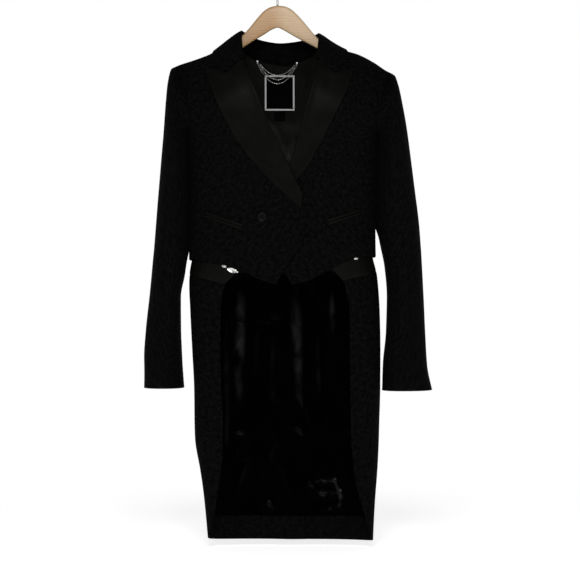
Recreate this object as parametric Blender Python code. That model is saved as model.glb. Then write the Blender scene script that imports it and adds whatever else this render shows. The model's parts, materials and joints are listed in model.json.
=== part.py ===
"""A black tuxedo tailcoat hung on a wooden hanger.

The coat is a cropped jacket with peaked satin lapels, whose tails zip on inside its hem. Each piece of
cloth is a thin wall laid on one of three shapes: the body, the tails or a sleeve. A shape gives a point for
two coordinates, and a piece is a net of such coordinates, so that neighbours meet along the same line. The
tables hold millimetres; X runs to the right of someone who faces the coat, the front faces -Y and Z is up.
The origin is the top of the hook's inside, where a rail holds it. Right and left in the names are the
wearer's.
"""

import math
from collections import namedtuple

import bmesh
import bpy
import numpy as np
from mathutils import Matrix, Vector

MM = 0.001

# Cloth thicknesses and the gaps between layers
WOOL = 2.0
FACED = 2.2
SATIN = 1.2
LINING = 1.0
RIBBON = 0.8
SEAM_GAP = 0.3
LAYER_GAP = 0.6

# How square the coat's sections are: 2 is an ellipse
SQUARENESS = 2.8
SLEEVE_SQUARENESS = 2.3
# The height over which the cloth falls from the top of the shoulders to its full depth
SHOULDER_DROP = 125.0

Section = namedtuple("Section", "z left right front back")
Spot = namedtuple("Spot", "x z")

BODY_SECTIONS = (
    Section(-90, -192, 216, -70, 62),
    Section(-150, -193, 217, -76, 66),
    Section(-200, -192, 216, -84, 74),
    Section(-240, -188, 212, -90, 80),
    Section(-270, -182, 206, -92, 82),
    Section(-290, -176, 197.5, -92, 81),
    Section(-309.5, -170, 189, -91, 80),
    Section(-330, -168, 187.5, -90, 78),
    Section(-362, -166.5, 186.5, -88, 75),
    Section(-420, -165.6, 184.6, -83, 70),
    Section(-470, -165.3, 183.4, -80, 66),
    Section(-530, -165.2, 184.0, -80, 68),
    Section(-590, -165.2, 186.5, -82, 71),
)

TAIL_SECTIONS = (
    Section(-505, -159.0, 177.5, -73.0, 60.5),
    Section(-530, -159.5, 178.3, -73.0, 61.0),
    Section(-545, -162.0, 181.8, -73.8, 62.5),
    Section(-560, -164.2, 185.5, -74.0, 63.5),
    Section(-584, -164.9, 188.1, -74.0, 64.0),
    Section(-627, -163.1, 190.7, -72.0, 63.0),
    Section(-700, -159.0, 192.3, -68.0, 60.0),
    Section(-774, -155.6, 192.2, -64.0, 57.0),
    Section(-841, -154.5, 190.4, -60.0, 54.0),
    Section(-867, -153.5, 189.5, -58.0, 53.0),
    Section(-922, -144.6, 186.5, -54.0, 50.0),
    Section(-978, -137.3, 182.7, -50.0, 47.0),
    Section(-1070, -128.5, 178.6, -45.0, 43.0),
)

SHOULDER_LINE = (
    Spot(-200, -176.0), Spot(-185, -169.9), Spot(-150, -158.6), Spot(-122, -147.3), Spot(-100, -132.0),
    Spot(-84, -120.3), Spot(-60, -107.5), Spot(5, -98.0), Spot(66, -109.0), Spot(94, -125.0),
    Spot(110, -134.5), Spot(130, -143.6), Spot(149.4, -149.4), Spot(179, -164.2), Spot(204.8, -180.9),
    Spot(225, -189.0),
)


def smooth(knots, values, at):
    """Values between the knots on a cubic curve that never overshoots them, and level beyond both ends."""
    knots, values, at = (np.asarray(a, float) for a in (knots, values, at))
    if knots[0] > knots[-1]:
        knots, values = knots[::-1], values[::-1]
    wide = (-1,) + (1,) * (values.ndim - 1)
    slope = np.diff(values, axis=0) / np.diff(knots).reshape(wide)
    before, after = slope[:-1], slope[1:]
    same_way = before * after > 0
    between = np.where(same_way, 2 * before * after / np.where(same_way, before + after, 1.0), 0.0)
    tangent = np.concatenate([slope[:1], between, slope[-1:]])
    i = np.clip(np.searchsorted(knots, at) - 1, 0, len(knots) - 2)
    run = np.diff(knots)[i]
    t = np.clip((at - knots[i]) / run, 0, 1)
    run, t = (a.reshape(a.shape + (1,) * (values.ndim - 1)) for a in (run, t))
    return (
        values[i] * (1 + 2 * t) * (1 - t) ** 2
        + values[i + 1] * t * t * (3 - 2 * t)
        + tangent[i] * run * t * (1 - t) ** 2
        - tangent[i + 1] * run * t * t * (1 - t)
    )


def column(rows, name):
    return [getattr(row, name) for row in rows]


def size_at(sections, name, z):
    """One named column of a table of sections, at the heights z."""
    return smooth(column(sections, "z"), column(sections, name), z)


def shoulder_z(x):
    return smooth(column(SHOULDER_LINE, "x"), column(SHOULDER_LINE, "z"), x)


def step_up(value, low, high):
    """0 below low, 1 above high, and a smooth rise between them."""
    t = np.clip((value - low) / (high - low), 0, 1)
    return t * t * (3 - 2 * t)


# The shapes. Round the body and the tails, turn is 0 at the middle of the front, -1 and 1 at the sides and -2
# and 2 at the middle of the back.


def turn_of(sections, x, z, back=False):
    """The turn of a point at x and z on the front, or on the back."""
    left, right = size_at(sections, "left", z), size_at(sections, "right", z)
    across = np.clip((x - (left + right) / 2) / ((right - left) / 2), -1, 1)
    turn = 2 / math.pi * np.arctan2(across, (1 - np.abs(across) ** SQUARENESS) ** (1 / SQUARENESS))
    return np.where(turn < 0, -2, 2) - turn if back else turn


def shares(turn, squareness=SQUARENESS):
    """(share of the half width, share of the depth, True in front) of a squared ellipse at a turn."""
    side, ahead = np.sin(math.pi / 2 * turn), np.cos(math.pi / 2 * turn)
    reach = (np.abs(side) ** squareness + np.abs(ahead) ** squareness) ** (1 / squareness)
    return side / reach, np.abs(ahead) / reach, ahead > 0


def fall_of(drop):
    """The angle that stands for a drop below the shoulder line: a quarter turn where the depth is full."""
    share = drop / SHOULDER_DROP
    return np.where(share < 1, np.arccos(np.clip(1 - share, -1, 1)), math.pi / 2 + share - 1)


def body_point(turn, fall):
    """A point on the jacket; its height needs x and the width needs the height, so both are found at once."""
    turn, fall = np.broadcast_arrays(turn, np.abs(fall))
    across, depth_share, ahead = shares(turn)
    drop = np.where(fall < math.pi / 2, 1 - np.cos(fall), 1 + fall - math.pi / 2) * SHOULDER_DROP
    z = np.full(turn.shape, -300.0)
    for _ in range(30):
        left, right = size_at(BODY_SECTIONS, "left", z), size_at(BODY_SECTIONS, "right", z)
        x = (left + right) / 2 + across * (right - left) / 2
        z = shoulder_z(x) - drop
    depth = np.where(ahead, size_at(BODY_SECTIONS, "front", z), size_at(BODY_SECTIONS, "back", z))
    return np.stack([x, depth * depth_share * np.sin(np.minimum(fall, math.pi / 2)), z], axis=-1)


def shoulder_point(turn, fall):
    """The same surface over the shoulder line: fall is negative behind it, and turn stays within -1 and 1."""
    turn, fall = np.broadcast_arrays(turn, fall)
    return body_point(np.where(fall < 0, np.where(turn < 0, -2, 2) - turn, turn), fall)


def tail_point(turn, down):
    """A point on the tails, at a depth below the origin."""
    turn, down = np.broadcast_arrays(turn, down)
    across, depth_share, ahead = shares(turn)
    left, right = size_at(TAIL_SECTIONS, "left", -down), size_at(TAIL_SECTIONS, "right", -down)
    front, back = size_at(TAIL_SECTIONS, "front", -down), size_at(TAIL_SECTIONS, "back", -down)
    x = (left + right) / 2 + across * (right - left) / 2
    return np.stack([x, np.where(ahead, front, back) * depth_share, -down], axis=-1)


def laid_on(shape, net, height):
    """Points at a height above a shape, along its outward normals, which come from small steps over it."""
    u, v = net[..., 0], net[..., 1]
    du = 2e-3
    dv = 0.5 if shape is tail_point else 2e-3
    low = np.maximum(v - dv, 1e-4) if shape is body_point else v - dv
    normal = np.cross(shape(u, low + 2 * dv) - shape(u, low), shape(u + du, v) - shape(u - du, v))
    normal /= np.linalg.norm(normal, axis=-1, keepdims=True)
    return shape(u, v) + normal * np.broadcast_to(height, u.shape)[..., None]


# Lines in two coordinates, and the nets between them


def course(spots, count):
    """A smooth line through the spots, cut into equal lengths."""
    spots = np.array([tuple(s) for s in spots], float)
    length = np.concatenate([[0], np.cumsum(np.linalg.norm(np.diff(spots, axis=0), axis=1))])
    return smooth(length, spots, np.linspace(0, length[-1], count + 1))


def straight(start, end, count):
    return np.linspace(np.array(tuple(start), float), np.array(tuple(end), float), count + 1)


def joined(*lines):
    """Lines that follow on from one another, their shared ends kept once."""
    return np.concatenate([lines[0]] + [line[1:] for line in lines[1:]])


def stretched(left, right, top, bottom):
    """A net between four lines: left and right run down, top and bottom run from left to right."""
    v = np.linspace(0, 1, len(left))[:, None, None]
    u = np.linspace(0, 1, len(top))[None, :, None]
    sides = left[:, None] * (1 - u) + right[:, None] * u
    ends = top[None] * (1 - v) + bottom[None] * v
    corners = (left[0] * (1 - u) + right[0] * u) * (1 - v) + (left[-1] * (1 - u) + right[-1] * u) * v
    return sides + ends - corners


def between(left, right, count):
    """A net of straight rows between two lines that run down."""
    u = np.linspace(0, 1, count + 1)[None, :, None]
    return left[:, None] * (1 - u) + right[:, None] * u


def on_body(line, back=False):
    """A line of (x, z) as (turn, fall) on the jacket."""
    x, z = line[..., 0], line[..., 1]
    return np.stack([turn_of(BODY_SECTIONS, x, z, back), fall_of(np.maximum(shoulder_z(x) - z, 0))], axis=-1)


def on_tails(line, back=False):
    """A line of (x, z) as (turn, down) on the tails."""
    return np.stack([turn_of(TAIL_SECTIONS, line[..., 0], line[..., 1], back), -line[..., 1]], axis=-1)


# Making objects

PART = bpy.data.collections.new("Tailcoat")
SIDES = ((-1, "right"), (1, "left"))

Look = namedtuple("Look", "colour roughness metallic")
LOOKS = {
    "black_wool": Look((0.0042, 0.0042, 0.0040), 0.85, 0.0),
    "black_satin": Look((0.0065, 0.0068, 0.0058), 0.38, 0.0),
    "black_lining": Look((0.0022, 0.0022, 0.0020), 0.32, 0.0),
    "black_horn": Look((0.006, 0.006, 0.006), 0.3, 0.0),
    "silver": Look((0.72, 0.72, 0.70), 0.25, 1.0),
    "beech": Look((0.50, 0.33, 0.19), 0.5, 0.0),
}


def clear_scene():
    for old in list(bpy.context.scene.objects):
        bpy.data.objects.remove(old, do_unlink=True)


def material(name, look):
    """A Principled material for one object."""
    made = bpy.data.materials.new("%s_%s" % (name, look))
    made.use_nodes = True
    shader = made.node_tree.nodes["Principled BSDF"]
    shader.inputs["Base Color"].default_value = (*LOOKS[look].colour, 1)
    shader.inputs["Roughness"].default_value = LOOKS[look].roughness
    shader.inputs["Metallic"].default_value = LOOKS[look].metallic
    return made


def add(name, bm, look, origin=(0, 0, 0)):
    """The mesh as a named object, its origin at a point given in millimetres."""
    origin = Vector(origin)
    bmesh.ops.transform(bm, matrix=Matrix.Scale(MM, 4) @ Matrix.Translation(-origin), verts=bm.verts)
    bmesh.ops.recalc_face_normals(bm, faces=bm.faces)
    mesh = bpy.data.meshes.new(name)
    bm.to_mesh(mesh)
    bm.free()
    part = bpy.data.objects.new(name, mesh)
    part.location = origin * MM
    mesh.materials.append(material(name, look))
    PART.objects.link(part)
    return part


def pulled_in(outer, inner, edges):
    """Both faces of a wall drawn back by half a seam gap at the named edges, square to each edge."""
    outer, inner = outer.copy(), inner.copy()
    shifts = []
    for edge in edges:
        row, beside = {
            "top": ((0, slice(None)), (1, slice(None))),
            "bottom": ((-1, slice(None)), (-2, slice(None))),
            "left": ((slice(None), 0), (slice(None), 1)),
            "right": ((slice(None), -1), (slice(None), -2)),
        }[edge]
        along = np.gradient(outer[row], axis=0)
        inward = np.cross(outer[row] - inner[row], along)
        inward /= np.linalg.norm(inward, axis=-1, keepdims=True)
        inward *= np.sign(np.sum(inward * (outer[beside] - outer[row]), axis=-1, keepdims=True))
        shifts.append((row, inward * SEAM_GAP / 2))
    for row, shift in shifts:
        outer[row] += shift
        inner[row] += shift
    return outer, inner


def wall(name, outer, inner, look, seams=(), closed=False):
    """A closed wall lofted between two nets of the same size; closed joins each row's end to its start."""
    if seams:
        outer, inner = pulled_in(outer, inner, seams)
    rows, columns = outer.shape[:2]
    bm = bmesh.new()
    faces = [[[bm.verts.new(p) for p in row] for row in net] for net in (outer, inner)]
    across = columns if closed else columns - 1
    for net in faces:
        for i in range(rows - 1):
            for j in range(across):
                k = (j + 1) % columns
                bm.faces.new((net[i][j], net[i + 1][j], net[i + 1][k], net[i][k]))
    rims = [[(i, j) for j in range(columns)] + ([(i, 0)] if closed else []) for i in (0, rows - 1)]
    if not closed:
        rims += [[(i, j) for i in range(rows)] for j in (0, columns - 1)]
    for rim in rims:
        for (i, j), (m, n) in zip(rim, rim[1:]):
            bm.faces.new((faces[0][i][j], faces[0][m][n], faces[1][m][n], faces[1][i][j]))
    return add(name, bm, look)


def cloth(name, shape, net, look, thickness, height=0.0, seams=()):
    """A piece of cloth whose outer face is at a height above a shape."""
    outer, inner = (laid_on(shape, net, height - inset) for inset in (0, thickness))
    return wall(name, outer, inner, look, seams)


def tube(name, path, radius, look, sides=6, closed=False, origin=(0, 0, 0)):
    """A round cord along a path, as a curve with a round bevel made into a mesh."""
    curve = bpy.data.curves.new(name, "CURVE")
    curve.dimensions = "3D"
    curve.bevel_depth = radius
    curve.bevel_resolution = (sides - 4) // 2
    curve.use_fill_caps = not closed
    spline = curve.splines.new("POLY")
    spline.use_cyclic_u = closed
    spline.points.add(len(path) - 1)
    for point, at in zip(spline.points, path):
        point.co = (*at, 1)
    holder = bpy.data.objects.new(name, curve)
    mesh = bpy.data.meshes.new_from_object(holder)
    bm = bmesh.new()
    bm.from_mesh(mesh)
    bmesh.ops.remove_doubles(bm, verts=bm.verts, dist=1e-5)
    bpy.data.objects.remove(holder)
    bpy.data.meshes.remove(mesh)
    bpy.data.curves.remove(curve)
    return add(name, bm, look, origin)


# The jacket's body

ArmholeRow = namedtuple("ArmholeRow", "angle turn right_z left_z")
ARMHOLE = (
    ArmholeRow(0, 0.820, -171.1, -184.2),
    ArmholeRow(30, 0.765, -180.3, -192.6),
    ArmholeRow(60, 0.675, -205.6, -215.6),
    ArmholeRow(90, 0.622, -240.3, -246.9),
    ArmholeRow(120, 0.620, -274.8, -278.2),
    ArmholeRow(150, 0.763, -300.1, -301.1),
    ArmholeRow(180, 1.000, -309.5, -309.5),
)
# Where the side panel's two seams meet the armhole, as angles round it from the top by way of the front
FRONT_SEAM_AT = 165
BACK_SEAM_AT = 210
SEAM_ROWS = 9
FRONT_HEM_TURN = 0.93
BACK_HEM_TURN = 1.34
# How far down from the shoulder line the neck seam is cut, in degrees of fall, from the middle of the back
BACK_NECK_FALLS = (58, 50, 38, 25, 12, 0)
FRONT_NECK_FALLS = (0, 12, 25, 37, 47, 56)
SHOULDER_COLUMNS = 9

# Lines of the cut for the wearer's right (-1), whose front laps over, and left (1)
BACK_NECKLINE = {
    -1: (Spot(5, -157), Spot(-22, -154.5), Spot(-48, -145), Spot(-68, -132.5), Spot(-84, -120.3)),
    1: (Spot(5, -157), Spot(32, -154.8), Spot(58, -146.5), Spot(78, -135), Spot(94, -125.0)),
}
FRONT_NECKLINE = {
    -1: (Spot(-84, -120.3), Spot(-80.5, -137), Spot(-74, -152), Spot(-66, -166)),
    1: (Spot(94, -125.0), Spot(90.5, -138), Spot(84, -152.5), Spot(77, -165.5)),
}
ROLL_LINE = {
    -1: (Spot(-66, -166), Spot(-40.5, -222), Spot(-17, -283), Spot(20, -359), Spot(45.5, -413)),
    1: (Spot(77, -165.5), Spot(63.5, -215), Spot(42, -290.5), Spot(21.5, -363), Spot(-22, -413)),
}
FRONT_EDGE = {
    -1: (Spot(45.5, -413), Spot(46, -440), Spot(50.6, -465.5), Spot(46.8, -498.5), Spot(27.4, -531.5),
         Spot(16.4, -547.7), Spot(-3.5, -580.3)),
    1: (Spot(-22, -413), Spot(-22, -440), Spot(-27, -465.5), Spot(-23.2, -498.5), Spot(-4, -531.5),
        Spot(7, -547.7), Spot(27.2, -580.3)),
}
FRONT_HEM = {
    -1: (Spot(-3.5, -580.3), Spot(-30.6, -571.5), Spot(-68.7, -553), Spot(-110.3, -541), Spot(-150.5, -534.5),
         Spot(-163, -533)),
    1: (Spot(27.2, -580.3), Spot(56, -573), Spot(96, -551.5), Spot(143, -530), Spot(172.5, -527),
        Spot(182.5, -525.5)),
}
SIDE_HEM_Z = {-1: -533.0, 1: -526.0}
CENTRE_BACK_HEM_Z = -531.0

# How far the under front dips to leave room for its own lapel and for the front that laps over both
UNDER_DIP = WOOL + FACED + 2.2 * LAYER_GAP


def under_dip(points):
    return -UNDER_DIP * step_up(-points[..., 0], -80, -56) * step_up(-points[..., 2], 300, 345)


def body_x(turn, z):
    """The x of a turn at a height on the jacket."""
    left, right = size_at(BODY_SECTIONS, "left", z), size_at(BODY_SECTIONS, "right", z)
    return (left + right) / 2 + shares(np.asarray(turn))[0] * (right - left) / 2


def armhole(side, angle):
    """(turn, fall) along an armhole, at angles from its top by way of the front."""
    angle = np.asarray(angle, float) % 360
    half = np.minimum(angle, 360 - angle)
    turn = side * smooth(column(ARMHOLE, "angle"), column(ARMHOLE, "turn"), half)
    rows = column(ARMHOLE, "right_z" if side < 0 else "left_z")
    z = smooth(column(ARMHOLE, "angle"), rows, half)
    top_x = body_x(side * ARMHOLE[0].turn, rows[0])
    z = z + (shoulder_z(top_x) - rows[0]) * np.clip(1 - half / 60, 0, 1)
    fall = np.where(half == 0, 0.0, fall_of(np.maximum(shoulder_z(body_x(turn, z)) - z, 0)))
    return np.stack([np.where(angle > 180, 2 * side - turn, turn), fall], axis=-1)


def neck_seam(spots, falls, back=False):
    """(turn, fall) along a neckline, at the given falls."""
    line = on_body(course(spots, 60), back)
    line = line[np.argsort(line[:, 1])]
    falls = np.radians(falls)
    falls[falls > line[-1, 1]] = line[-1, 1]
    return np.stack([np.interp(falls, line[:, 1], line[:, 0]), falls], axis=-1)


def side_seam(side, at, hem_turn):
    """The seam from the armhole, at an angle round it, down to a turn at the hem."""
    start = armhole(side, [at])[0]
    z = SIDE_HEM_Z[side]
    hem = np.array([side * hem_turn, fall_of(shoulder_z(body_x(side * hem_turn, z)) - z)])
    middle = np.array([start[0] * 0.45 + hem[0] * 0.55, start[1] * 0.7 + hem[1] * 0.3])
    return course([start, middle, hem], SEAM_ROWS)


def front_net(side):
    round_arm = armhole(side, np.arange(0, FRONT_SEAM_AT + 1, 15))
    outer = joined(round_arm, side_seam(side, FRONT_SEAM_AT, FRONT_HEM_TURN))
    inner = joined(neck_seam(FRONT_NECKLINE[side], FRONT_NECK_FALLS), on_body(course(ROLL_LINE[side], 7)),
                   on_body(course(FRONT_EDGE[side], 8)))
    hem = course(on_body(course(FRONT_HEM[side], 80)), SHOULDER_COLUMNS)
    hem[0], hem[-1] = inner[-1], outer[-1]
    return stretched(inner, outer, straight(inner[0], outer[0], SHOULDER_COLUMNS), hem)


def side_net(side):
    front, back = side_seam(side, FRONT_SEAM_AT, FRONT_HEM_TURN), side_seam(side, BACK_SEAM_AT, BACK_HEM_TURN)
    top = armhole(side, np.arange(FRONT_SEAM_AT, BACK_SEAM_AT + 1, 15))
    return stretched(front, back, top, straight(front[-1], back[-1], len(top) - 1))


def back_net(side):
    round_arm = armhole(side, np.arange(360, BACK_SEAM_AT - 1, -15))
    outer = joined(round_arm, side_seam(side, BACK_SEAM_AT, BACK_HEM_TURN))
    outer[0, 0] = 2 * side - outer[0, 0]
    neck = neck_seam(BACK_NECKLINE[side], BACK_NECK_FALLS, back=True)
    neck[0, 0] = side * 2
    low = fall_of(shoulder_z(BACK_NECKLINE[side][0].x) - CENTRE_BACK_HEM_Z)
    fall = np.linspace(neck[0, 1], low, len(outer))
    inner = np.stack([np.full(len(outer), side * 2.0), fall], axis=-1)
    top = joined(neck, straight(neck[-1], outer[0], SHOULDER_COLUMNS))
    return stretched(inner, outer, top, straight(inner[-1], outer[-1], len(top) - 1))


def make_body():
    for side, who in SIDES:
        net = front_net(side)
        height = under_dip(body_point(net[..., 0], net[..., 1])) if side > 0 else 0.0
        cloth("front_" + who, body_point, net, "black_wool", WOOL, height, ("top", "left", "right"))
        cloth("side_" + who, body_point, side_net(side), "black_wool", WOOL, 0.0, ("top", "left", "right"))
        cloth("back_" + who, body_point, back_net(side), "black_wool", WOOL, 0.0, ("top", "left", "right"))


# Lapels, collar, pockets and button

LAPEL_GAP = 1.5 * LAYER_GAP
LAPEL_TOP = {
    -1: (Spot(-66, -166), Spot(-92.3, -191.2), Spot(-132.9, -180.1)),
    1: (Spot(77, -165.5), Spot(103.2, -191.2), Spot(140, -183)),
}
LAPEL_EDGE = {
    -1: (Spot(-132.9, -180.1), Spot(-125, -208), Spot(-88.5, -290.7), Spot(-38, -363.2), Spot(5.6, -406.5),
         Spot(43.5, -441)),
    1: (Spot(140, -183), Spot(132.5, -209.9), Spot(92.4, -294.3), Spot(56.3, -363), Spot(32.5, -392.3),
        Spot(-20, -441)),
}
LAPEL_ROWS = 12

# A row per station of the collar, from the middle of the back round to the gorge; down is below the shoulder
# line, and negative behind it. The neck seam's stations are its falls above.
CollarRow = namedtuple("CollarRow", "fold_x fold_y fold_z edge_x edge_down")
COLLAR = (
    CollarRow(5.0, 48.0, -122.5, 5.0, -70.0),
    CollarRow(-27.0, 43.5, -118.5, -66.0, -49.0),
    CollarRow(-45.0, 34.0, -113.5, -99.0, -27.0),
    CollarRow(-56.5, 22.0, -109.0, -112.0, -12.0),
    CollarRow(-63.0, 11.0, -106.0, -116.0, -3.0),
    CollarRow(-67.0, 0.0, -104.8, -117.0, 0.0),
    CollarRow(-68.0, -11.0, -107.5, -119.0, 2.5),
    CollarRow(-68.0, -24.0, -115.0, -120.5, 5.5),
    CollarRow(-67.0, -36.0, -127.0, -122.0, 9.0),
    CollarRow(-65.0, -48.5, -143.0, -123.3, 13.0),
    CollarRow(-61.5, -63.5, -162.0, -124.5, 18.0),
)
NECK_MIDDLE_X = 5.0
# The leaf's own cut edge leaves the gorge seam at the notch, this share of the way across and this far down
NOTCH_SHARE = 0.45
NOTCH_DOWN = 25.0
LEAF_SHARES = (0.0, 0.22, NOTCH_SHARE, 0.72, 1.0)


def lapel_net(side):
    roll = course(on_body(course(ROLL_LINE[side], 60)), LAPEL_ROWS)
    edge = course(on_body(course(LAPEL_EDGE[side], 60)), LAPEL_ROWS)
    start, notch, tip = LAPEL_TOP[side]
    top = joined(on_body(straight(start, notch, 2)), on_body(straight(notch, tip, 3)))
    return stretched(roll, edge, top, straight(roll[-1], edge[-1], len(top) - 1))


def signed(line):
    """(turn, fall) on the back or front as the pair that crosses the shoulder line."""
    turn, fall = line[..., 0], line[..., 1]
    behind = np.abs(turn) > 1
    turn = np.where(behind, 2 * np.sign(turn) - turn, turn)
    return np.stack([turn, np.where(behind, -fall, fall)], axis=-1)


def collar_frame(side):
    """Along the collar: the neck seam and outer edge as (turn, fall), the fold, and the way out."""
    neck = signed(joined(neck_seam(BACK_NECKLINE[side], BACK_NECK_FALLS, back=True),
                         neck_seam(FRONT_NECKLINE[side], FRONT_NECK_FALLS)))
    neck[0, 0] = 0.0
    rows = np.array(COLLAR)
    if side > 0:
        rows = rows * (-1, 1, 1, -1, 1) + (2 * NECK_MIDDLE_X, 0, 0, 2 * NECK_MIDDLE_X, 0)
        other = signed(joined(neck_seam(BACK_NECKLINE[-1], BACK_NECK_FALLS, back=True),
                              neck_seam(FRONT_NECKLINE[-1], FRONT_NECK_FALLS)))
        mine, theirs = (shoulder_point(line[:, 0], line[:, 1]) for line in (neck, other))
        rows[:, 2] += (mine - theirs)[:, 2]
    down = rows[:, 4]
    z = shoulder_z(rows[:, 3]) - np.abs(down)
    edge = np.stack([turn_of(BODY_SECTIONS, rows[:, 3], z), np.sign(down) * fall_of(np.abs(down))], axis=-1)
    edge[0, 0] = 0.0
    fold = rows[:, :3]
    out = fold * (1, 1, 0) - (NECK_MIDDLE_X, -5.0, 0)
    return neck, edge, fold, out / np.linalg.norm(out, axis=-1, keepdims=True)


def collar_stations():
    """The frames of both halves as one row of stations, from the right gorge round the back to the left."""
    halves = [collar_frame(side) for side in (-1, 1)]
    return [np.concatenate([first[::-1], second[1:]]) for first, second in zip(*halves)]


def normals_of(net):
    """Unit normals of a net of points, from the differences along its rows and columns."""
    normal = np.cross(np.gradient(net, axis=0), np.gradient(net, axis=1))
    return normal / np.linalg.norm(normal, axis=-1, keepdims=True)


def make_collar():
    neck, edge, fold, out = collar_stations()
    up = np.array([0.0, 0.0, 1.0])
    count = len(neck)
    near_end = np.zeros(count)
    near_end[[0, -1]] = 1
    near_end[[1, -2]] = 0.4
    on_neck = laid_on(shoulder_point, neck, 0.0)
    rows = [fold - out * 2.4 - up * 1.4, fold, fold + out * 2.6 - up * 1.2]
    raised = laid_on(shoulder_point, neck, LAPEL_GAP + WOOL + 1.2)
    rows.append((rows[-1] + raised) / 2 + out)
    for share in LEAF_SHARES:
        line = neck * (1 - share) + edge * share
        points = shoulder_point(line[:, 0], line[:, 1])
        dip = NOTCH_DOWN * min(share / NOTCH_SHARE, (1 - share) / (1 - NOTCH_SHARE)) * near_end
        z = points[:, 2] - dip
        moved = signed(on_body(np.stack([points[:, 0], z], axis=-1)))
        line = np.where(dip[:, None] > 0, moved, line)
        height = LAPEL_GAP + WOOL + 1.2 * (1 - share) + (line[:, 1] < -0.3)
        rows.append(laid_on(shoulder_point, line, height))
    leaf = np.array(rows)
    wall("collar_leaf", leaf, leaf - outward(leaf) * WOOL, "black_wool", ("left", "right"))
    top = fold - out * 0.6 - up * 4.8
    shares_up = np.linspace(0, 1, 4)[:, None, None]
    stand = on_neck * (1 - shares_up) + top * shares_up
    thickness = outward(stand) * WOOL
    thickness[0] = (laid_on(shoulder_point, neck, 1.0) - on_neck) * WOOL
    wall("collar_stand", stand, stand - thickness, "black_wool", ("top",))


def outward(net):
    """Normals of a piece round the neck, turned away from the neck's middle."""
    normal = normals_of(net)
    middle = np.array([NECK_MIDDLE_X, -5.0, net[..., 2].min() - 60])
    flip = np.sign(np.sum(normal * (net - middle), axis=-1))
    return normal * np.sign(np.median(flip))


PocketRow = namedtuple("PocketRow", "inner outer")
POCKETS = {
    -1: PocketRow(Spot(-63.3, -475.5), Spot(-134.7, -449.7)),
    1: PocketRow(Spot(92.5, -466.3), Spot(152.5, -445.8)),
}
JET_HEIGHT = 5.2
JET_COLUMNS = 6

BUTTON_AT = Spot(-27.8, -456.4)
ButtonRow = namedtuple("ButtonRow", "radius height")
BUTTON = (
    ButtonRow(5.5, 0.0), ButtonRow(8.4, 0.9), ButtonRow(8.8, 2.2), ButtonRow(8.0, 3.2), ButtonRow(6.4, 2.6),
)


def frame_at(shape, coordinates, height):
    """A point at a height above a shape, with its normal."""
    at = np.array(coordinates, float)[None]
    low, high = laid_on(shape, at, height)[0], laid_on(shape, at, height + 1)[0]
    return low, high - low


def lathed(name, rows, at, normal, look, sides=20):
    """A solid of revolution: rows of (radius, height) turned round a normal at a point."""
    turn = Vector(normal).to_track_quat("Z", "Y").to_matrix().to_4x4()
    bm = bmesh.new()
    rings = []
    for radius, height in rows:
        ring = [bm.verts.new((radius * math.cos(a), radius * math.sin(a), height))
                for a in np.linspace(0, 2 * math.pi, sides, endpoint=False)]
        rings.append(ring)
    skin(bm, rings)
    bmesh.ops.transform(bm, matrix=Matrix.Translation(Vector(at)) @ turn, verts=bm.verts)
    return add(name, bm, look)


def skin(bm, rings):
    """Faces between rings of vertices, and a cap on each end."""
    for low, high in zip(rings, rings[1:]):
        for j in range(len(low)):
            k = (j + 1) % len(low)
            bm.faces.new((low[j], low[k], high[k], high[j]))
    bm.faces.new(rings[0])
    bm.faces.new(rings[-1])


def make_details():
    for side, who in SIDES:
        net = lapel_net(side)
        base = under_dip(body_point(net[..., 0], net[..., 1])) if side > 0 else 0.0
        cloth("lapel_" + who, body_point, net, "black_satin", FACED, base + LAPEL_GAP + FACED, ("top",))
        start, end = (np.array(spot) for spot in POCKETS[side])
        slope = (end - start) / np.linalg.norm(end - start)
        across = np.array([-slope[1], slope[0]]) * np.sign(slope[0])
        for place, low in (("upper", SEAM_GAP / 2), ("lower", -JET_HEIGHT - SEAM_GAP / 2)):
            lines = [on_body(straight(start + across * h, end + across * h, JET_COLUMNS))
                     for h in (low + JET_HEIGHT, low)]
            cloth("pocket_jet_%s_%s" % (who, place), body_point, np.array(lines), "black_satin", SATIN,
                  LAYER_GAP + SATIN)
    at, normal = frame_at(body_point, on_body(np.array(BUTTON_AT)), LAYER_GAP)
    lathed("button", BUTTON, at, normal, "black_horn")


# Sleeves

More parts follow.
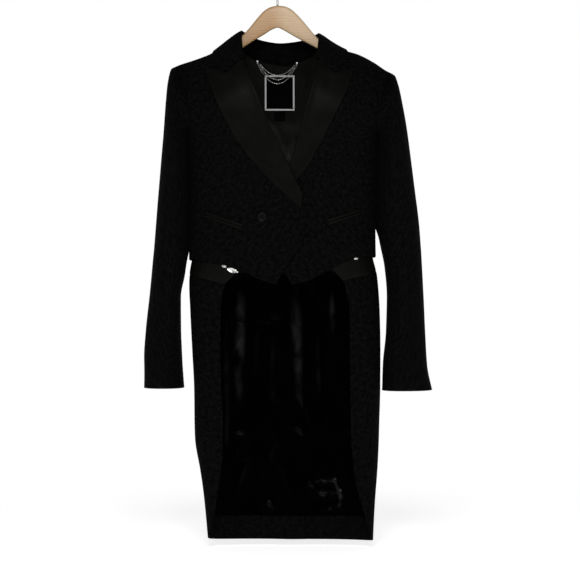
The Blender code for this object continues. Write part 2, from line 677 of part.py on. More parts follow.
SleeveRow = namedtuple("SleeveRow", "outer_x outer_z inner_x inner_z front back")
SLEEVES = {
    -1: (
        SleeveRow(-197.5, -177.0, -170.2, -316, -58, 52),
        SleeveRow(-204.0, -200.0, -170.8, -330, -64, 58),
        SleeveRow(-208.0, -238.0, -170.4, -352, -71, 65),
        SleeveRow(-212.0, -290.0, -169.2, -380, -75, 68),
        SleeveRow(-217.0, -345.0, -168.2, -412, -73, 66),
        SleeveRow(-222.0, -410.0, -167.8, -450, -69, 62),
        SleeveRow(-228.0, -492.0, -167.6, -510, -66, 54),
        SleeveRow(-234.0, -555.0, -172.2, -560, -64, 46),
        SleeveRow(-239.0, -604.0, -180.0, -604, -62, 40),
        SleeveRow(-245.5, -665.0, -180.5, -663, -60, 36),
        SleeveRow(-249.2, -720.0, -178.5, -718, -58, 33),
        SleeveRow(-249.2, -772.0, -174.3, -772, -56, 31),
    ),
    1: (
        SleeveRow(219.0, -190.0, 189.8, -317, -58, 52),
        SleeveRow(225.5, -208.0, 190.6, -330, -64, 58),
        SleeveRow(233.5, -245.0, 190.8, -352, -71, 65),
        SleeveRow(241.8, -290.0, 189.8, -380, -75, 68),
        SleeveRow(249.5, -345.0, 188.6, -412, -73, 66),
        SleeveRow(257.0, -408.0, 187.6, -448, -69, 62),
        SleeveRow(264.5, -475.0, 189.5, -490, -66, 54),
        SleeveRow(269.5, -545.0, 199.5, -548, -64, 46),
        SleeveRow(272.8, -605.0, 203.8, -606, -62, 40),
        SleeveRow(275.5, -668.0, 203.0, -667, -60, 36),
        SleeveRow(279.5, -727.0, 197.5, -727, -58, 33),
        SleeveRow(289.0, -776.0, 195.5, -777, -56, 31),
    ),
}
# Angles round a sleeve from its outer line by way of the front, and the share of a row left to the binding
TOP_SLEEVE = np.arange(-120, 121, 15)
UNDER_SLEEVE = np.arange(120, 241, 15)
WHOLE_SLEEVE = np.arange(0, 360, 15)
BINDING_SHARE = 0.07


def sleeve_point(side, angle, row):
    """Points on a sleeve at angles round it, for rows of its table, where row 0 is the armhole."""
    angle = np.asarray(angle, float)
    turns = armhole(side, angle)
    ahead, outer, outside = shares(angle / 90, SLEEVE_SQUARENESS)
    outer = np.where(outside, outer, -outer)
    rings = [body_point(turns[:, 0], turns[:, 1])]
    for r in SLEEVES[side]:
        x = (r.outer_x + r.inner_x) / 2 + outer * (r.outer_x - r.inner_x) / 2
        z = (r.outer_z + r.inner_z) / 2 + outer * (r.outer_z - r.inner_z) / 2
        rings.append(np.stack([x, np.where(ahead > 0, r.front, r.back) * np.abs(ahead), z], axis=-1))
    return smooth(np.arange(len(rings)), np.array(rings), np.asarray(row, float))


def sleeve_wall(name, side, angle, rows, look, seams, closed=False):
    """A wall of a sleeve, whose thickness points into each ring, so that it meets the armhole squarely."""
    outer = sleeve_point(side, angle, rows)
    angle = np.asarray(angle)
    along = sleeve_point(side, angle + 1.0, rows) - sleeve_point(side, angle - 1.0, rows)
    ends = sleeve_point(side, [0, 180], rows)
    across = ends[:, :1] - ends[:, 1:]
    normal = np.cross(along, np.cross((0.0, 1.0, 0.0), across))
    normal /= np.linalg.norm(normal, axis=-1, keepdims=True)
    normal *= np.sign(np.sum(normal * (outer - ends.mean(axis=1, keepdims=True)), axis=-1, keepdims=True))
    return wall(name, outer, outer - normal * WOOL, look, seams, closed)


def make_sleeves():
    for side, who in SIDES:
        last = len(SLEEVES[side])
        rows = np.append(np.arange(last), last - BINDING_SHARE)
        all_round = ("top", "bottom", "left", "right")
        sleeve_wall("sleeve_%s_top" % who, side, TOP_SLEEVE, rows, "black_wool", all_round)
        sleeve_wall("sleeve_%s_under" % who, side, UNDER_SLEEVE, rows, "black_wool",
                    ("top", "bottom", "left", "right"))
        sleeve_wall("cuff_binding_" + who, side, WHOLE_SLEEVE, [last - BINDING_SHARE, last], "black_satin",
                    ("top",), closed=True)


# Tails

LineRow = namedtuple("LineRow", "turn z")
BAND_TOP = {
    -1: (LineRow(0.238, -541), LineRow(0.44, -533), LineRow(0.66, -527), LineRow(1.0, -525),
         LineRow(1.5, -523), LineRow(2.0, -523)),
    1: (LineRow(0.281, -539), LineRow(0.45, -531), LineRow(0.66, -524), LineRow(1.0, -518),
        LineRow(1.5, -519), LineRow(2.0, -523)),
}
BAND_BOTTOM = {
    -1: (LineRow(0.379, -578.6), LineRow(0.627, -565.8), LineRow(0.8, -562.5), LineRow(1.0, -561),
         LineRow(1.5, -561), LineRow(2.0, -561)),
    1: (LineRow(0.389, -573), LineRow(0.502, -566), LineRow(0.8, -557), LineRow(1.0, -554.5),
        LineRow(1.5, -556), LineRow(2.0, -561)),
}
TAIL_HEM = {
    -1: (LineRow(0.85, -1047), LineRow(1.0, -1053.5), LineRow(1.5, -1059.5), LineRow(2.0, -1061)),
    1: (LineRow(0.85, -1051), LineRow(1.0, -1058), LineRow(1.5, -1061), LineRow(2.0, -1061)),
}
TAIL_FRONT = {
    -1: (Spot(-96, -578.6), Spot(-100.2, -594.8), Spot(-103.9, -626.8), Spot(-105.5, -735.4),
         Spot(-100.3, -826.7), Spot(-102.2, -899.4), Spot(-107.6, -947), Spot(-111.3, -965.3),
         Spot(-118.9, -1015), Spot(-125.4, -1047)),
    1: (Spot(121.6, -573), Spot(127.4, -594.8), Spot(133, -626.8), Spot(134.6, -771.6), Spot(136.5, -862.7),
        Spot(142, -928), Spot(151.5, -972.5), Spot(166.3, -1017.4), Spot(175.0, -1051)),
}
# Shares of the way down at which the tails have rows; the vent opens between two, and the hem's facing
# starts at the last but one
TAIL_ROWS = np.array([0, 0.065, 0.12, 0.173, 0.197, 0.30, 0.41, 0.52, 0.63, 0.73, 0.82, 0.912, 1.0])
VENT_ROW = 3
TAIL_SEAM_TURN = 1.42
VENT_LAP_TURN = 0.11
TAIL_INSIDE = WOOL + 1.0
# The underlap lies inside the other tail and its lining
VENT_DIP = TAIL_INSIDE + LINING + 2.5 * LAYER_GAP


def height_on(rows, turn):
    """The z of a line of the tails, at turns counted from the front up to 2, on either side."""
    turn = np.abs(turn)
    return smooth(column(rows, "turn"), column(rows, "z"), np.where(turn > 2, 4 - turn, turn))


def tail_line(side, turn):
    """A line down a tail at a turn given for each of its rows."""
    turn = side * np.broadcast_to(turn, TAIL_ROWS.shape)
    top, hem = height_on(BAND_BOTTOM[side], turn[0]), height_on(TAIL_HEM[side], turn[-1])
    return np.stack([turn, -(top + TAIL_ROWS * (hem - top))], axis=-1)


def tail_front_line(side):
    spots = np.array(TAIL_FRONT[side])
    z = spots[0, 1] + TAIL_ROWS * (spots[-1, 1] - spots[0, 1])
    return on_tails(np.stack([smooth(spots[:, 1], spots[:, 0], z), z], axis=-1))


def tail_nets(side):
    """The side piece and the back piece of a tail; the right back laps under the left beyond the middle."""
    front, seam = tail_front_line(side), tail_line(side, TAIL_SEAM_TURN)
    lap = np.where(np.arange(len(TAIL_ROWS)) > VENT_ROW, VENT_LAP_TURN if side < 0 else 0.0, 0.0)
    nets = between(front, seam, 7), between(seam, tail_line(side, 2 + lap), 7)
    for net in nets:
        for line, at in ((BAND_BOTTOM, 0), (TAIL_HEM, -1)):
            net[at, 1:, 1] = -height_on(line[side], net[at, 1:, 0])
        net[1:-1, :, 1] = net[:1, :, 1] + TAIL_ROWS[1:-1, None] * (net[-1:, :, 1] - net[:1, :, 1])
    return nets


def vent_dip(net):
    """How far the right tail sinks beside the vent."""
    if net[0, 0, 0] > 0:
        return 0.0
    below = step_up(TAIL_ROWS, TAIL_ROWS[VENT_ROW - 1], TAIL_ROWS[VENT_ROW])[:, None]
    return -VENT_DIP * below * step_up(-net[..., 0], 1.86, 1.97)


def make_tails():
    for side, who in SIDES:
        nets = tail_nets(side)
        panels = (("side", nets[0], ("top", "right")), ("back", nets[1], ("top", "left", "right")))
        for name, net, seams in panels:
            cloth("tail_%s_%s" % (who, name), tail_point, net, "black_wool", WOOL, vent_dip(net), seams)
        whole = np.concatenate([nets[0], nets[1][:, 1:]], axis=1)
        dip = np.broadcast_to(vent_dip(whole), whole.shape[:2])
        cloth("tail_lining_" + who, tail_point, whole[:-1, 1:], "black_lining", LINING,
              dip[:-1, 1:] - TAIL_INSIDE, ("top", "bottom", "left", "right"))
        cloth("hem_facing_" + who, tail_point, whole[-2:], "black_wool", LINING, dip[-2:] - TAIL_INSIDE,
              ("top", "left", "right"))
        turn = BAND_TOP[side][0].turn, BAND_BOTTOM[side][0].turn
        lines = []
        for table, start in ((BAND_TOP, turn[0]), (BAND_BOTTOM, turn[1])):
            beside, behind = np.linspace(start, TAIL_SEAM_TURN, 13), np.linspace(TAIL_SEAM_TURN, 2, 8)
            turns = np.concatenate([beside, behind[1:]])
            lines.append(np.stack([side * turns, -height_on(table[side], turns)], axis=-1))
        middle = (lines[0] + lines[1]) / 2
        band = np.array([lines[0], middle, lines[1]])
        cloth("waistband_" + who, tail_point, band, "black_satin", SATIN, 0.0, ("top", "bottom", "right"))


# The zip

# Turns counted from the left front (0) by way of the back to the right front (4)
ZIP_TURNS = np.concatenate([np.linspace(0.30, 1.42, 8), np.linspace(1.42, 2.58, 11)[1:],
                            np.linspace(2.58, 3.73, 9)[1:]])
ZIP_ABOVE = 9.0
ZIP_INSET = 2.4
# Outlines of the metal pieces, along and across, and where they are on the front of the tails
SLIDER_AT = Spot(-97.0, -546.3)
SLIDER = ((-4.5, -2.2), (2.8, -3.2), (4.5, -1.8), (4.5, 1.8), (2.8, 3.2), (-4.5, 2.2))
PULL_HINGE = Spot(-92.6, -550.7)
PULL_END = Spot(-70.7, -557.9)
PULL = ((0.5, -1.6), (3.0, -2.0), (8.0, -4.3), (12.0, -4.6), (16.0, -3.2), (20.0, -1.5), (23.0, -0.9),
        (23.0, 0.9), (20.0, 1.5), (16.0, 3.2), (12.0, 4.6), (8.0, 4.3), (3.0, 2.0), (0.5, 1.6))
BOX_AT = Spot(144.4, -531.6)
BOX = ((-4.4, -2.6), (4.4, -2.6), (4.4, 2.6), (-4.4, 2.6))


def band_top(turn):
    """The height of the band's top at a turn from the left front (0) by the back to the right front (4)."""
    return np.where(turn < 2, height_on(BAND_TOP[1], turn), height_on(BAND_TOP[-1], 4 - turn))


def make_zip():
    z = band_top(ZIP_TURNS)
    turn = ZIP_TURNS
    fall = fall_of(shoulder_z(body_x(turn, z + ZIP_ABOVE)) - z - ZIP_ABOVE)
    high = np.stack([turn, fall], axis=-1)
    low = np.stack([turn, -z - SEAM_GAP], axis=-1)
    outer = np.array([laid_on(body_point, high, -WOOL - ZIP_INSET), laid_on(tail_point, low, 0.0)])
    inside = laid_on(body_point, high, -WOOL - ZIP_INSET - RIBBON)
    inner = np.array([inside, laid_on(tail_point, low, -RIBBON)])
    wall("zip_tape", outer, inner, "black_satin")
    slider = frame_on_tails(SLIDER_AT, (SLIDER_AT.x + 5, SLIDER_AT.z - 0.5))
    plate("zip_slider", SLIDER, slider, 0.2, 2.8, "silver")
    plate("zip_box", BOX, frame_on_tails(BOX_AT, (BOX_AT.x + 5, BOX_AT.z + 1.2)), 0.2, 2.0, "silver")
    frame = frame_on_tails(PULL_HINGE, PULL_END)
    plate("zip_pull", PULL, frame, 0.4, 1.6, "silver", frame[0] + frame[3])


def frame_on_tails(spot, towards):
    """A point on the front of the tails, with the way to another point, the way across and the normal."""
    at, normal = frame_at(tail_point, on_tails(np.array(spot, float)), 0.0)
    ahead = frame_at(tail_point, on_tails(np.array(towards, float)), 0.0)[0] - at
    ahead -= normal * (ahead @ normal)
    ahead /= np.linalg.norm(ahead)
    return at, ahead, np.cross(normal, ahead), normal


def plate(name, outline, frame, low, high, look, origin=(0, 0, 0)):
    """An outline in the plane of a frame, made solid between two heights."""
    at, ahead, across, normal = frame
    bm = bmesh.new()
    flat = [at + ahead * u + across * v for u, v in outline]
    rings = [[bm.verts.new(spot + normal * h) for spot in flat] for h in (low, high)]
    skin(bm, rings)
    return add(name, bm, look, origin)


# The lining in the neck, the label, the size tab and the chain

NECK_LINING_HEIGHT = -(WOOL + 2.1)
LINING_TURNS = np.linspace(1.32, 2.68, 19)
LINING_BOTTOM_Z = -505.0
LABEL = (Spot(-25.5, -179.0), Spot(32.9, -248.0))
SIZE_TAB = (Spot(-7.0, -248.6), Spot(14.0, -267.0))
CHAIN_ENDS = (Spot(-39.0, -155.0), Spot(37.0, -158.0))
CHAIN_LOWS = (-176.0, -184.0, -192.0)
CHAIN_WIRE = 0.7
# How far apart the strands leave an end, as a share of the chain's width
CHAIN_STEPS = 0.03


def make_neck():
    neck = []
    for turn in LINING_TURNS:
        side = 1 if turn <= 2 else -1
        line = neck_seam(BACK_NECKLINE[side], BACK_NECK_FALLS, back=True)
        reach = abs(2 - turn)
        ends = np.abs(2 - np.abs(line[:, 0]))
        neck.append(np.interp(reach, ends, line[:, 1] + math.radians(4), right=math.radians(11)))
    top = np.stack([LINING_TURNS, np.maximum(neck, math.radians(11))], axis=-1)
    low = fall_of(shoulder_z(body_x(LINING_TURNS, LINING_BOTTOM_Z)) - LINING_BOTTOM_Z)
    bottom = np.stack([LINING_TURNS, low], axis=-1)
    share = np.linspace(0, 1, 11)[:, None, None]
    net = top * (1 - share) + bottom * share
    cloth("lining_back", body_point, net, "black_lining", LINING, NECK_LINING_HEIGHT)
    on_lining = NECK_LINING_HEIGHT - LINING - 1.2
    for name, (a, b) in (("neck_label", LABEL), ("size_tab", SIZE_TAB)):
        left = on_body(straight((a.x, a.z), (a.x, b.z), 5), back=True)
        right = on_body(straight((b.x, a.z), (b.x, b.z), 5), back=True)
        left[:, 0] = np.where(left[:, 0] < 0, left[:, 0] + 4, left[:, 0])
        cloth(name, body_point, between(left, right, 5), "black_lining", RIBBON, on_lining)
    for number, spot in enumerate(CHAIN_ENDS, 1):
        at, normal = frame_at(body_point, on_body(np.array(spot), back=True), on_lining - 0.1)
        lathed("chain_end_%d" % number, ((3.2, 0.0), (3.2, -1.2), (2.2, -1.8)), at, normal, "silver", 12)
    a, b = (np.array(spot) for spot in CHAIN_ENDS)
    for number, low in enumerate(CHAIN_LOWS, 1):
        t = np.linspace(0, 1, 17)
        inset = CHAIN_STEPS * (len(CHAIN_LOWS) - number) + 0.005
        line = a + (b - a) * (inset + t[:, None] * (1 - 2 * inset))
        line[:, 1] += (low - line[:, 1].mean()) * (1 - (2 * t - 1) ** 2) - 3.2
        net = on_body(line, back=True)
        path = laid_on(body_point, net, on_lining - RIBBON - 1.0 - CHAIN_WIRE)
        tube("chain_strand_%d" % number, path, CHAIN_WIRE, "silver")


# The hanger and its hook

HangerRow = namedtuple("HangerRow", "x top bottom thick")
HANGER = (
    HangerRow(-176, -171.5, -183.0, 9), HangerRow(-164, -168.0, -183.5, 11),
    HangerRow(-150, -162.6, -179.0, 12), HangerRow(-122, -151.3, -166.0, 13),
    HangerRow(-100, -136.8, -155.0, 13), HangerRow(-84, -125.6, -147.0, 13),
    HangerRow(-75, -120.8, -142.0, 13), HangerRow(-65, -113.6, -137.0, 13),
    HangerRow(-54, -102.2, -130.0, 13),
    HangerRow(-38, -82.5, -120.0, 13), HangerRow(-24.5, -68.1, -112.0, 13), HangerRow(-12, -61.0, -104.0, 13),
    HangerRow(0, -58.6, -99.5, 13), HangerRow(12, -59.6, -104.5, 13), HangerRow(24, -64.5, -111.5, 13),
    HangerRow(42, -81.0, -121.5, 13), HangerRow(55, -96.0, -128.0, 13), HangerRow(69, -112.8, -135.5, 13),
    HangerRow(79, -122.0, -141.0, 13), HangerRow(94, -130.5, -149.0, 13), HangerRow(110, -139.5, -157.0, 13),
    HangerRow(130, -148.2, -165.0, 13), HangerRow(149, -153.8, -172.0, 12),
    HangerRow(179, -169.0, -187.0, 11), HangerRow(194, -178.5, -191.0, 9),
)
HANGER_BEVEL = 2.5
HOOK_WIRE = 1.8
HOOK_INSIDE = 18.0


def make_hanger():
    bm = bmesh.new()
    rings = []
    for row in HANGER:
        half, cut = row.thick / 2, HANGER_BEVEL
        corners = ((-half + cut, row.bottom), (half - cut, row.bottom), (half, row.bottom + cut),
                   (half, row.top - cut), (half - cut, row.top), (-half + cut, row.top),
                   (-half, row.top - cut), (-half, row.bottom + cut))
        rings.append([bm.verts.new((row.x, y, z)) for y, z in corners])
    skin(bm, rings)
    add("hanger", bm, "beech")
    reach = HOOK_INSIDE + HOOK_WIRE
    turns = np.radians(np.arange(-68, 206, 12))
    arc = [(reach * math.cos(a), 0, -HOOK_INSIDE + reach * math.sin(a)) for a in turns]
    stem = [(0, 0, -58.2), (0, 0, -50), (0.7, 0, -45), (2.8, 0, -40.6)]
    tube("hook", stem + arc, HOOK_WIRE, "silver", sides=8)


def main():
    clear_scene()
    bpy.context.scene.collection.children.link(PART)
    make_body()
    make_details()
    make_collar()
    make_sleeves()
    make_tails()
    make_zip()
    make_neck()
    make_hanger()


main()
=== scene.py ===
"""The looks of a black tuxedo tailcoat on its wooden hanger, laid out as an add-on and run as a script.

Every piece of cloth is a thin shell on one of three surfaces, as its solid is: body, tails or sleeve.
A surface gives a point for two coordinates. A piece is a small net of such coordinates, read more finely here and
laid on the surface with soft creases, rounded edges and a map of the distances along its cloth for the weave.
Tables are in millimetres, in the solids' frame: the front faces -Y, Z is up, and the origin is the top of the
hook's inside. Right and left are the wearer's.
"""

import json
import math
from collections import namedtuple

import bpy
import numpy as np
from bpy.props import FloatProperty, FloatVectorProperty, PointerProperty
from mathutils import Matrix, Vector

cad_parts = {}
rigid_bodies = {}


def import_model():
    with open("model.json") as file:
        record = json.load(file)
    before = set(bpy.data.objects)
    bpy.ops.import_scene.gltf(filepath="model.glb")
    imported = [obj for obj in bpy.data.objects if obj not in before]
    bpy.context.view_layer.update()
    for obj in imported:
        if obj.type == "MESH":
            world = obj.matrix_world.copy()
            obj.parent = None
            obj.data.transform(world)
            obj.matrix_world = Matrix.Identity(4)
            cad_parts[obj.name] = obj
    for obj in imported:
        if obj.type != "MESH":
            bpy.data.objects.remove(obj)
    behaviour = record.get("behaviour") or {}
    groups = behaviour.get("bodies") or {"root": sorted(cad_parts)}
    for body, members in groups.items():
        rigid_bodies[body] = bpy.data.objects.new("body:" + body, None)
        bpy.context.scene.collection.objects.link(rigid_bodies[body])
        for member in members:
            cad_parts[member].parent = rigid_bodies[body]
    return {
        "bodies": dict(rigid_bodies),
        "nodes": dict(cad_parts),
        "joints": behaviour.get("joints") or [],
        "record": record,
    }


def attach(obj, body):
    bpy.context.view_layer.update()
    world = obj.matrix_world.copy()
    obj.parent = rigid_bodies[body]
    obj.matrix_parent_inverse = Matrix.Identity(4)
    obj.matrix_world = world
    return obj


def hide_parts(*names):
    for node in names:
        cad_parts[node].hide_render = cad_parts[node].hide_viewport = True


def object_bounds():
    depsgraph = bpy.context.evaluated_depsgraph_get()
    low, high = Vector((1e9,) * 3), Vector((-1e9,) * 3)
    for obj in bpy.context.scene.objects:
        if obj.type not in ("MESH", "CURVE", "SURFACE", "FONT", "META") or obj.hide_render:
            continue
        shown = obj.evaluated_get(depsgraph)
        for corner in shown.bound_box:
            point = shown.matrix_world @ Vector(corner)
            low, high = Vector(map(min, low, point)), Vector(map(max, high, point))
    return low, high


bl_info = {
    "name": "Tailcoat on a hanger",
    "version": (1, 0, 0),
    "blender": (4, 5, 0),
    "location": "View3D > Sidebar > Tailcoat",
    "description": "Dresses the solids of a tuxedo tailcoat with cloth, trim and metal",
    "category": "Add Mesh",
}

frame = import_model()
CAD_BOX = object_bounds()

MM = 0.001
COAT = "coat"
SIDES = ((-1, "right"), (1, "left"))

# Cloth thicknesses and the gaps between layers
WOOL = 2.0
FACED = 2.2
SATIN = 1.2
LINING = 1.0
RIBBON = 0.8
SEAM_GAP = 0.3
LAYER_GAP = 0.6

# How square the coat's sections are: 2 is an ellipse
SQUARENESS = 2.8
SLEEVE_SQUARENESS = 2.3
# The height over which the cloth falls from the top of the shoulders to its full depth
SHOULDER_DROP = 125.0

Section = namedtuple("Section", "z left right front back")
Spot = namedtuple("Spot", "x z")

BODY_SECTIONS = (
    Section(-90, -192, 216, -70, 62),
    Section(-150, -193, 217, -76, 66),
    Section(-200, -192, 216, -84, 74),
    Section(-240, -188, 212, -90, 80),
    Section(-270, -182, 206, -92, 82),
    Section(-290, -176, 197.5, -92, 81),
    Section(-309.5, -170, 189, -91, 80),
    Section(-330, -168, 187.5, -90, 78),
    Section(-362, -166.5, 186.5, -88, 75),
    Section(-420, -165.6, 184.6, -83, 70),
    Section(-470, -165.3, 183.4, -80, 66),
    Section(-530, -165.2, 184.0, -80, 68),
    Section(-590, -165.2, 186.5, -82, 71),
)

TAIL_SECTIONS = (
    Section(-505, -159.0, 177.5, -73.0, 60.5),
    Section(-530, -159.5, 178.3, -73.0, 61.0),
    Section(-545, -162.0, 181.8, -73.8, 62.5),
    Section(-560, -164.2, 185.5, -74.0, 63.5),
    Section(-584, -164.9, 188.1, -74.0, 64.0),
    Section(-627, -163.1, 190.7, -72.0, 63.0),
    Section(-700, -159.0, 192.3, -68.0, 60.0),
    Section(-774, -155.6, 192.2, -64.0, 57.0),
    Section(-841, -154.5, 190.4, -60.0, 54.0),
    Section(-867, -153.5, 189.5, -58.0, 53.0),
    Section(-922, -144.6, 186.5, -54.0, 50.0),
    Section(-978, -137.3, 182.7, -50.0, 47.0),
    Section(-1070, -128.5, 178.6, -45.0, 43.0),
)

SHOULDER_LINE = (
    Spot(-200, -176.0), Spot(-185, -169.9), Spot(-150, -158.6), Spot(-122, -147.3), Spot(-100, -132.0),
    Spot(-84, -120.3), Spot(-60, -107.5), Spot(5, -98.0), Spot(66, -109.0), Spot(94, -125.0),
    Spot(110, -134.5), Spot(130, -143.6), Spot(149.4, -149.4), Spot(179, -164.2), Spot(204.8, -180.9),
    Spot(225, -189.0),
)


def smooth(knots, values, at):
    """Values between the knots on a cubic curve that never overshoots them, and level beyond both ends."""
    knots, values, at = (np.asarray(a, float) for a in (knots, values, at))
    if knots[0] > knots[-1]:
        knots, values = knots[::-1], values[::-1]
    wide = (-1,) + (1,) * (values.ndim - 1)
    slope = np.diff(values, axis=0) / np.diff(knots).reshape(wide)
    before, after = slope[:-1], slope[1:]
    same_way = before * after > 0
    between = np.where(same_way, 2 * before * after / np.where(same_way, before + after, 1.0), 0.0)
    tangent = np.concatenate([slope[:1], between, slope[-1:]])
    i = np.clip(np.searchsorted(knots, at) - 1, 0, len(knots) - 2)
    run = np.diff(knots)[i]
    t = np.clip((at - knots[i]) / run, 0, 1)
    run, t = (a.reshape(a.shape + (1,) * (values.ndim - 1)) for a in (run, t))
    return (
        values[i] * (1 + 2 * t) * (1 - t) ** 2
        + values[i + 1] * t * t * (3 - 2 * t)
        + tangent[i] * run * t * (1 - t) ** 2
        - tangent[i + 1] * run * t * t * (1 - t)
    )


def column(rows, name):
    return [getattr(row, name) for row in rows]


def size_at(sections, name, z):
    """One named column of a table of sections, at the heights z."""
    return smooth(column(sections, "z"), column(sections, name), z)


def shoulder_z(x):
    return smooth(column(SHOULDER_LINE, "x"), column(SHOULDER_LINE, "z"), x)


def step_up(value, low, high):
    """0 below low, 1 above high, and a smooth rise between them."""
    t = np.clip((value - low) / (high - low), 0, 1)
    return t * t * (3 - 2 * t)


# The shapes. Round the body and the tails, turn is 0 at the middle of the front, -1 and 1 at the sides and -2
# and 2 at the middle of the back.


def turn_of(sections, x, z, back=False):
    """The turn of a point at x and z on the front, or on the back."""
    left, right = size_at(sections, "left", z), size_at(sections, "right", z)
    across = np.clip((x - (left + right) / 2) / ((right - left) / 2), -1, 1)
    turn = 2 / math.pi * np.arctan2(across, (1 - np.abs(across) ** SQUARENESS) ** (1 / SQUARENESS))
    return np.where(turn < 0, -2, 2) - turn if back else turn


def shares(turn, squareness=SQUARENESS):
    """(share of the half width, share of the depth, True in front) of a squared ellipse at a turn."""
    side, ahead = np.sin(math.pi / 2 * turn), np.cos(math.pi / 2 * turn)
    reach = (np.abs(side) ** squareness + np.abs(ahead) ** squareness) ** (1 / squareness)
    return side / reach, np.abs(ahead) / reach, ahead > 0


def fall_of(drop):
    """The angle that stands for a drop below the shoulder line: a quarter turn where the depth is full."""
    share = drop / SHOULDER_DROP
    return np.where(share < 1, np.arccos(np.clip(1 - share, -1, 1)), math.pi / 2 + share - 1)


def body_point(turn, fall):
    """A point on the jacket; its height needs x and the width needs the height, so both are found at once."""
    turn, fall = np.broadcast_arrays(turn, np.abs(fall))
    across, depth_share, ahead = shares(turn)
    drop = np.where(fall < math.pi / 2, 1 - np.cos(fall), 1 + fall - math.pi / 2) * SHOULDER_DROP
    z = np.full(turn.shape, -300.0)
    for _ in range(30):
        left, right = size_at(BODY_SECTIONS, "left", z), size_at(BODY_SECTIONS, "right", z)
        x = (left + right) / 2 + across * (right - left) / 2
        z = shoulder_z(x) - drop
    depth = np.where(ahead, size_at(BODY_SECTIONS, "front", z), size_at(BODY_SECTIONS, "back", z))
    return np.stack([x, depth * depth_share * np.sin(np.minimum(fall, math.pi / 2)), z], axis=-1)


def shoulder_point(turn, fall):
    """The same surface over the shoulder line: fall is negative behind it, and turn stays within -1 and 1."""
    turn, fall = np.broadcast_arrays(turn, fall)
    return body_point(np.where(fall < 0, np.where(turn < 0, -2, 2) - turn, turn), fall)


def tail_point(turn, down):
    """A point on the tails, at a depth below the origin."""
    turn, down = np.broadcast_arrays(turn, down)
    across, depth_share, ahead = shares(turn)
    left, right = size_at(TAIL_SECTIONS, "left", -down), size_at(TAIL_SECTIONS, "right", -down)
    front, back = size_at(TAIL_SECTIONS, "front", -down), size_at(TAIL_SECTIONS, "back", -down)
    x = (left + right) / 2 + across * (right - left) / 2
    return np.stack([x, np.where(ahead, front, back) * depth_share, -down], axis=-1)


# Lines in two coordinates, and the nets between them


def course(spots, count):
    """A smooth line through the spots, cut into equal lengths."""
    spots = np.array([tuple(s) for s in spots], float)
    length = np.concatenate([[0], np.cumsum(np.linalg.norm(np.diff(spots, axis=0), axis=1))])
    return smooth(length, spots, np.linspace(0, length[-1], count + 1))


def straight(start, end, count):
    return np.linspace(np.array(tuple(start), float), np.array(tuple(end), float), count + 1)


def joined(*lines):
    """Lines that follow on from one another, their shared ends kept once."""
    return np.concatenate([lines[0]] + [line[1:] for line in lines[1:]])


def stretched(left, right, top, bottom):
    """A net between four lines: left and right run down, top and bottom run from left to right."""
    v = np.linspace(0, 1, len(left))[:, None, None]
    u = np.linspace(0, 1, len(top))[None, :, None]
    sides = left[:, None] * (1 - u) + right[:, None] * u
    ends = top[None] * (1 - v) + bottom[None] * v
    corners = (left[0] * (1 - u) + right[0] * u) * (1 - v) + (left[-1] * (1 - u) + right[-1] * u) * v
    return sides + ends - corners


def between(left, right, count):
    """A net of straight rows between two lines that run down."""
    u = np.linspace(0, 1, count + 1)[None, :, None]
    return left[:, None] * (1 - u) + right[:, None] * u


def on_body(line, back=False):
    """A line of (x, z) as (turn, fall) on the jacket."""
    x, z = line[..., 0], line[..., 1]
    return np.stack([turn_of(BODY_SECTIONS, x, z, back), fall_of(np.maximum(shoulder_z(x) - z, 0))], axis=-1)


def on_tails(line, back=False):
    """A line of (x, z) as (turn, down) on the tails."""
    return np.stack([turn_of(TAIL_SECTIONS, line[..., 0], line[..., 1], back), -line[..., 1]], axis=-1)


# Soft creases: each is a trough, or a ridge where its depth is positive, along a line seen from the front or back

Crease = namedtuple("Crease", "x z to_x to_z width depth")

JACKET_FRONT_CREASES = (
    Crease(-158, -205, -128, -345, 13, -1.7), Crease(-146, -250, -108, -330, 9, -1.0),
    Crease(-160, -322, -92, -352, 8, -1.4), Crease(-158, -345, -100, -400, 10, -1.2),
    Crease(-30, -452, -112, -500, 9, -1.3), Crease(-34, -448, -98, -420, 8, -0.9),
    Crease(-150, -470, -138, -535, 11, -1.4), Crease(-100, -470, -92, -545, 12, -1.0),
    Crease(176, -215, 146, -350, 13, -1.7), Crease(160, -250, 126, -330, 9, -1.0),
    Crease(178, -322, 112, -356, 8, -1.4), Crease(174, -350, 118, -405, 10, -1.2),
    Crease(20, -440, 96, -505, 9, -1.0), Crease(60, -380, 118, -432, 10, -0.9),
    Crease(166, -470, 156, -530, 11, -1.4), Crease(118, -475, 108, -545, 12, -1.0),
)
JACKET_BACK_CREASES = (
    Crease(-150, -205, -118, -380, 16, -2.2), Crease(-120, -210, -96, -330, 12, -1.2),
    Crease(170, -212, 138, -380, 16, -2.2), Crease(142, -215, 116, -335, 12, -1.2),
    Crease(-150, -330, -70, -372, 11, -1.5), Crease(168, -335, 86, -376, 11, -1.5),
    Crease(-60, -380, -52, -525, 15, -1.5), Crease(74, -380, 66, -525, 15, -1.5),
    Crease(-118, -430, -110, -530, 12, -1.2), Crease(134, -430, 126, -530, 12, -1.2),
)
TAIL_FRONT_CREASES = (
    Crease(-128, -600, -120, -960, 10, -1.8), Crease(-148, -640, -140, -1030, 12, 1.4),
    Crease(150, -600, 152, -960, 10, -1.8), Crease(172, -650, 168, -1030, 12, 1.4),
    Crease(-112, -820, -128, -1010, 8, 1.2), Crease(146, -830, 162, -1010, 8, 1.2),
)
TAIL_BACK_CREASES = (
    Crease(-110, -580, -96, -1050, 17, -3.0), Crease(-62, -620, -56, -1062, 15, 2.4),
    Crease(-24, -600, -20, -1062, 13, -1.6), Crease(52, -600, 50, -1062, 15, -2.2),
    Crease(92, -610, 88, -1058, 15, 2.4), Crease(136, -580, 128, -1052, 17, -3.0),
)
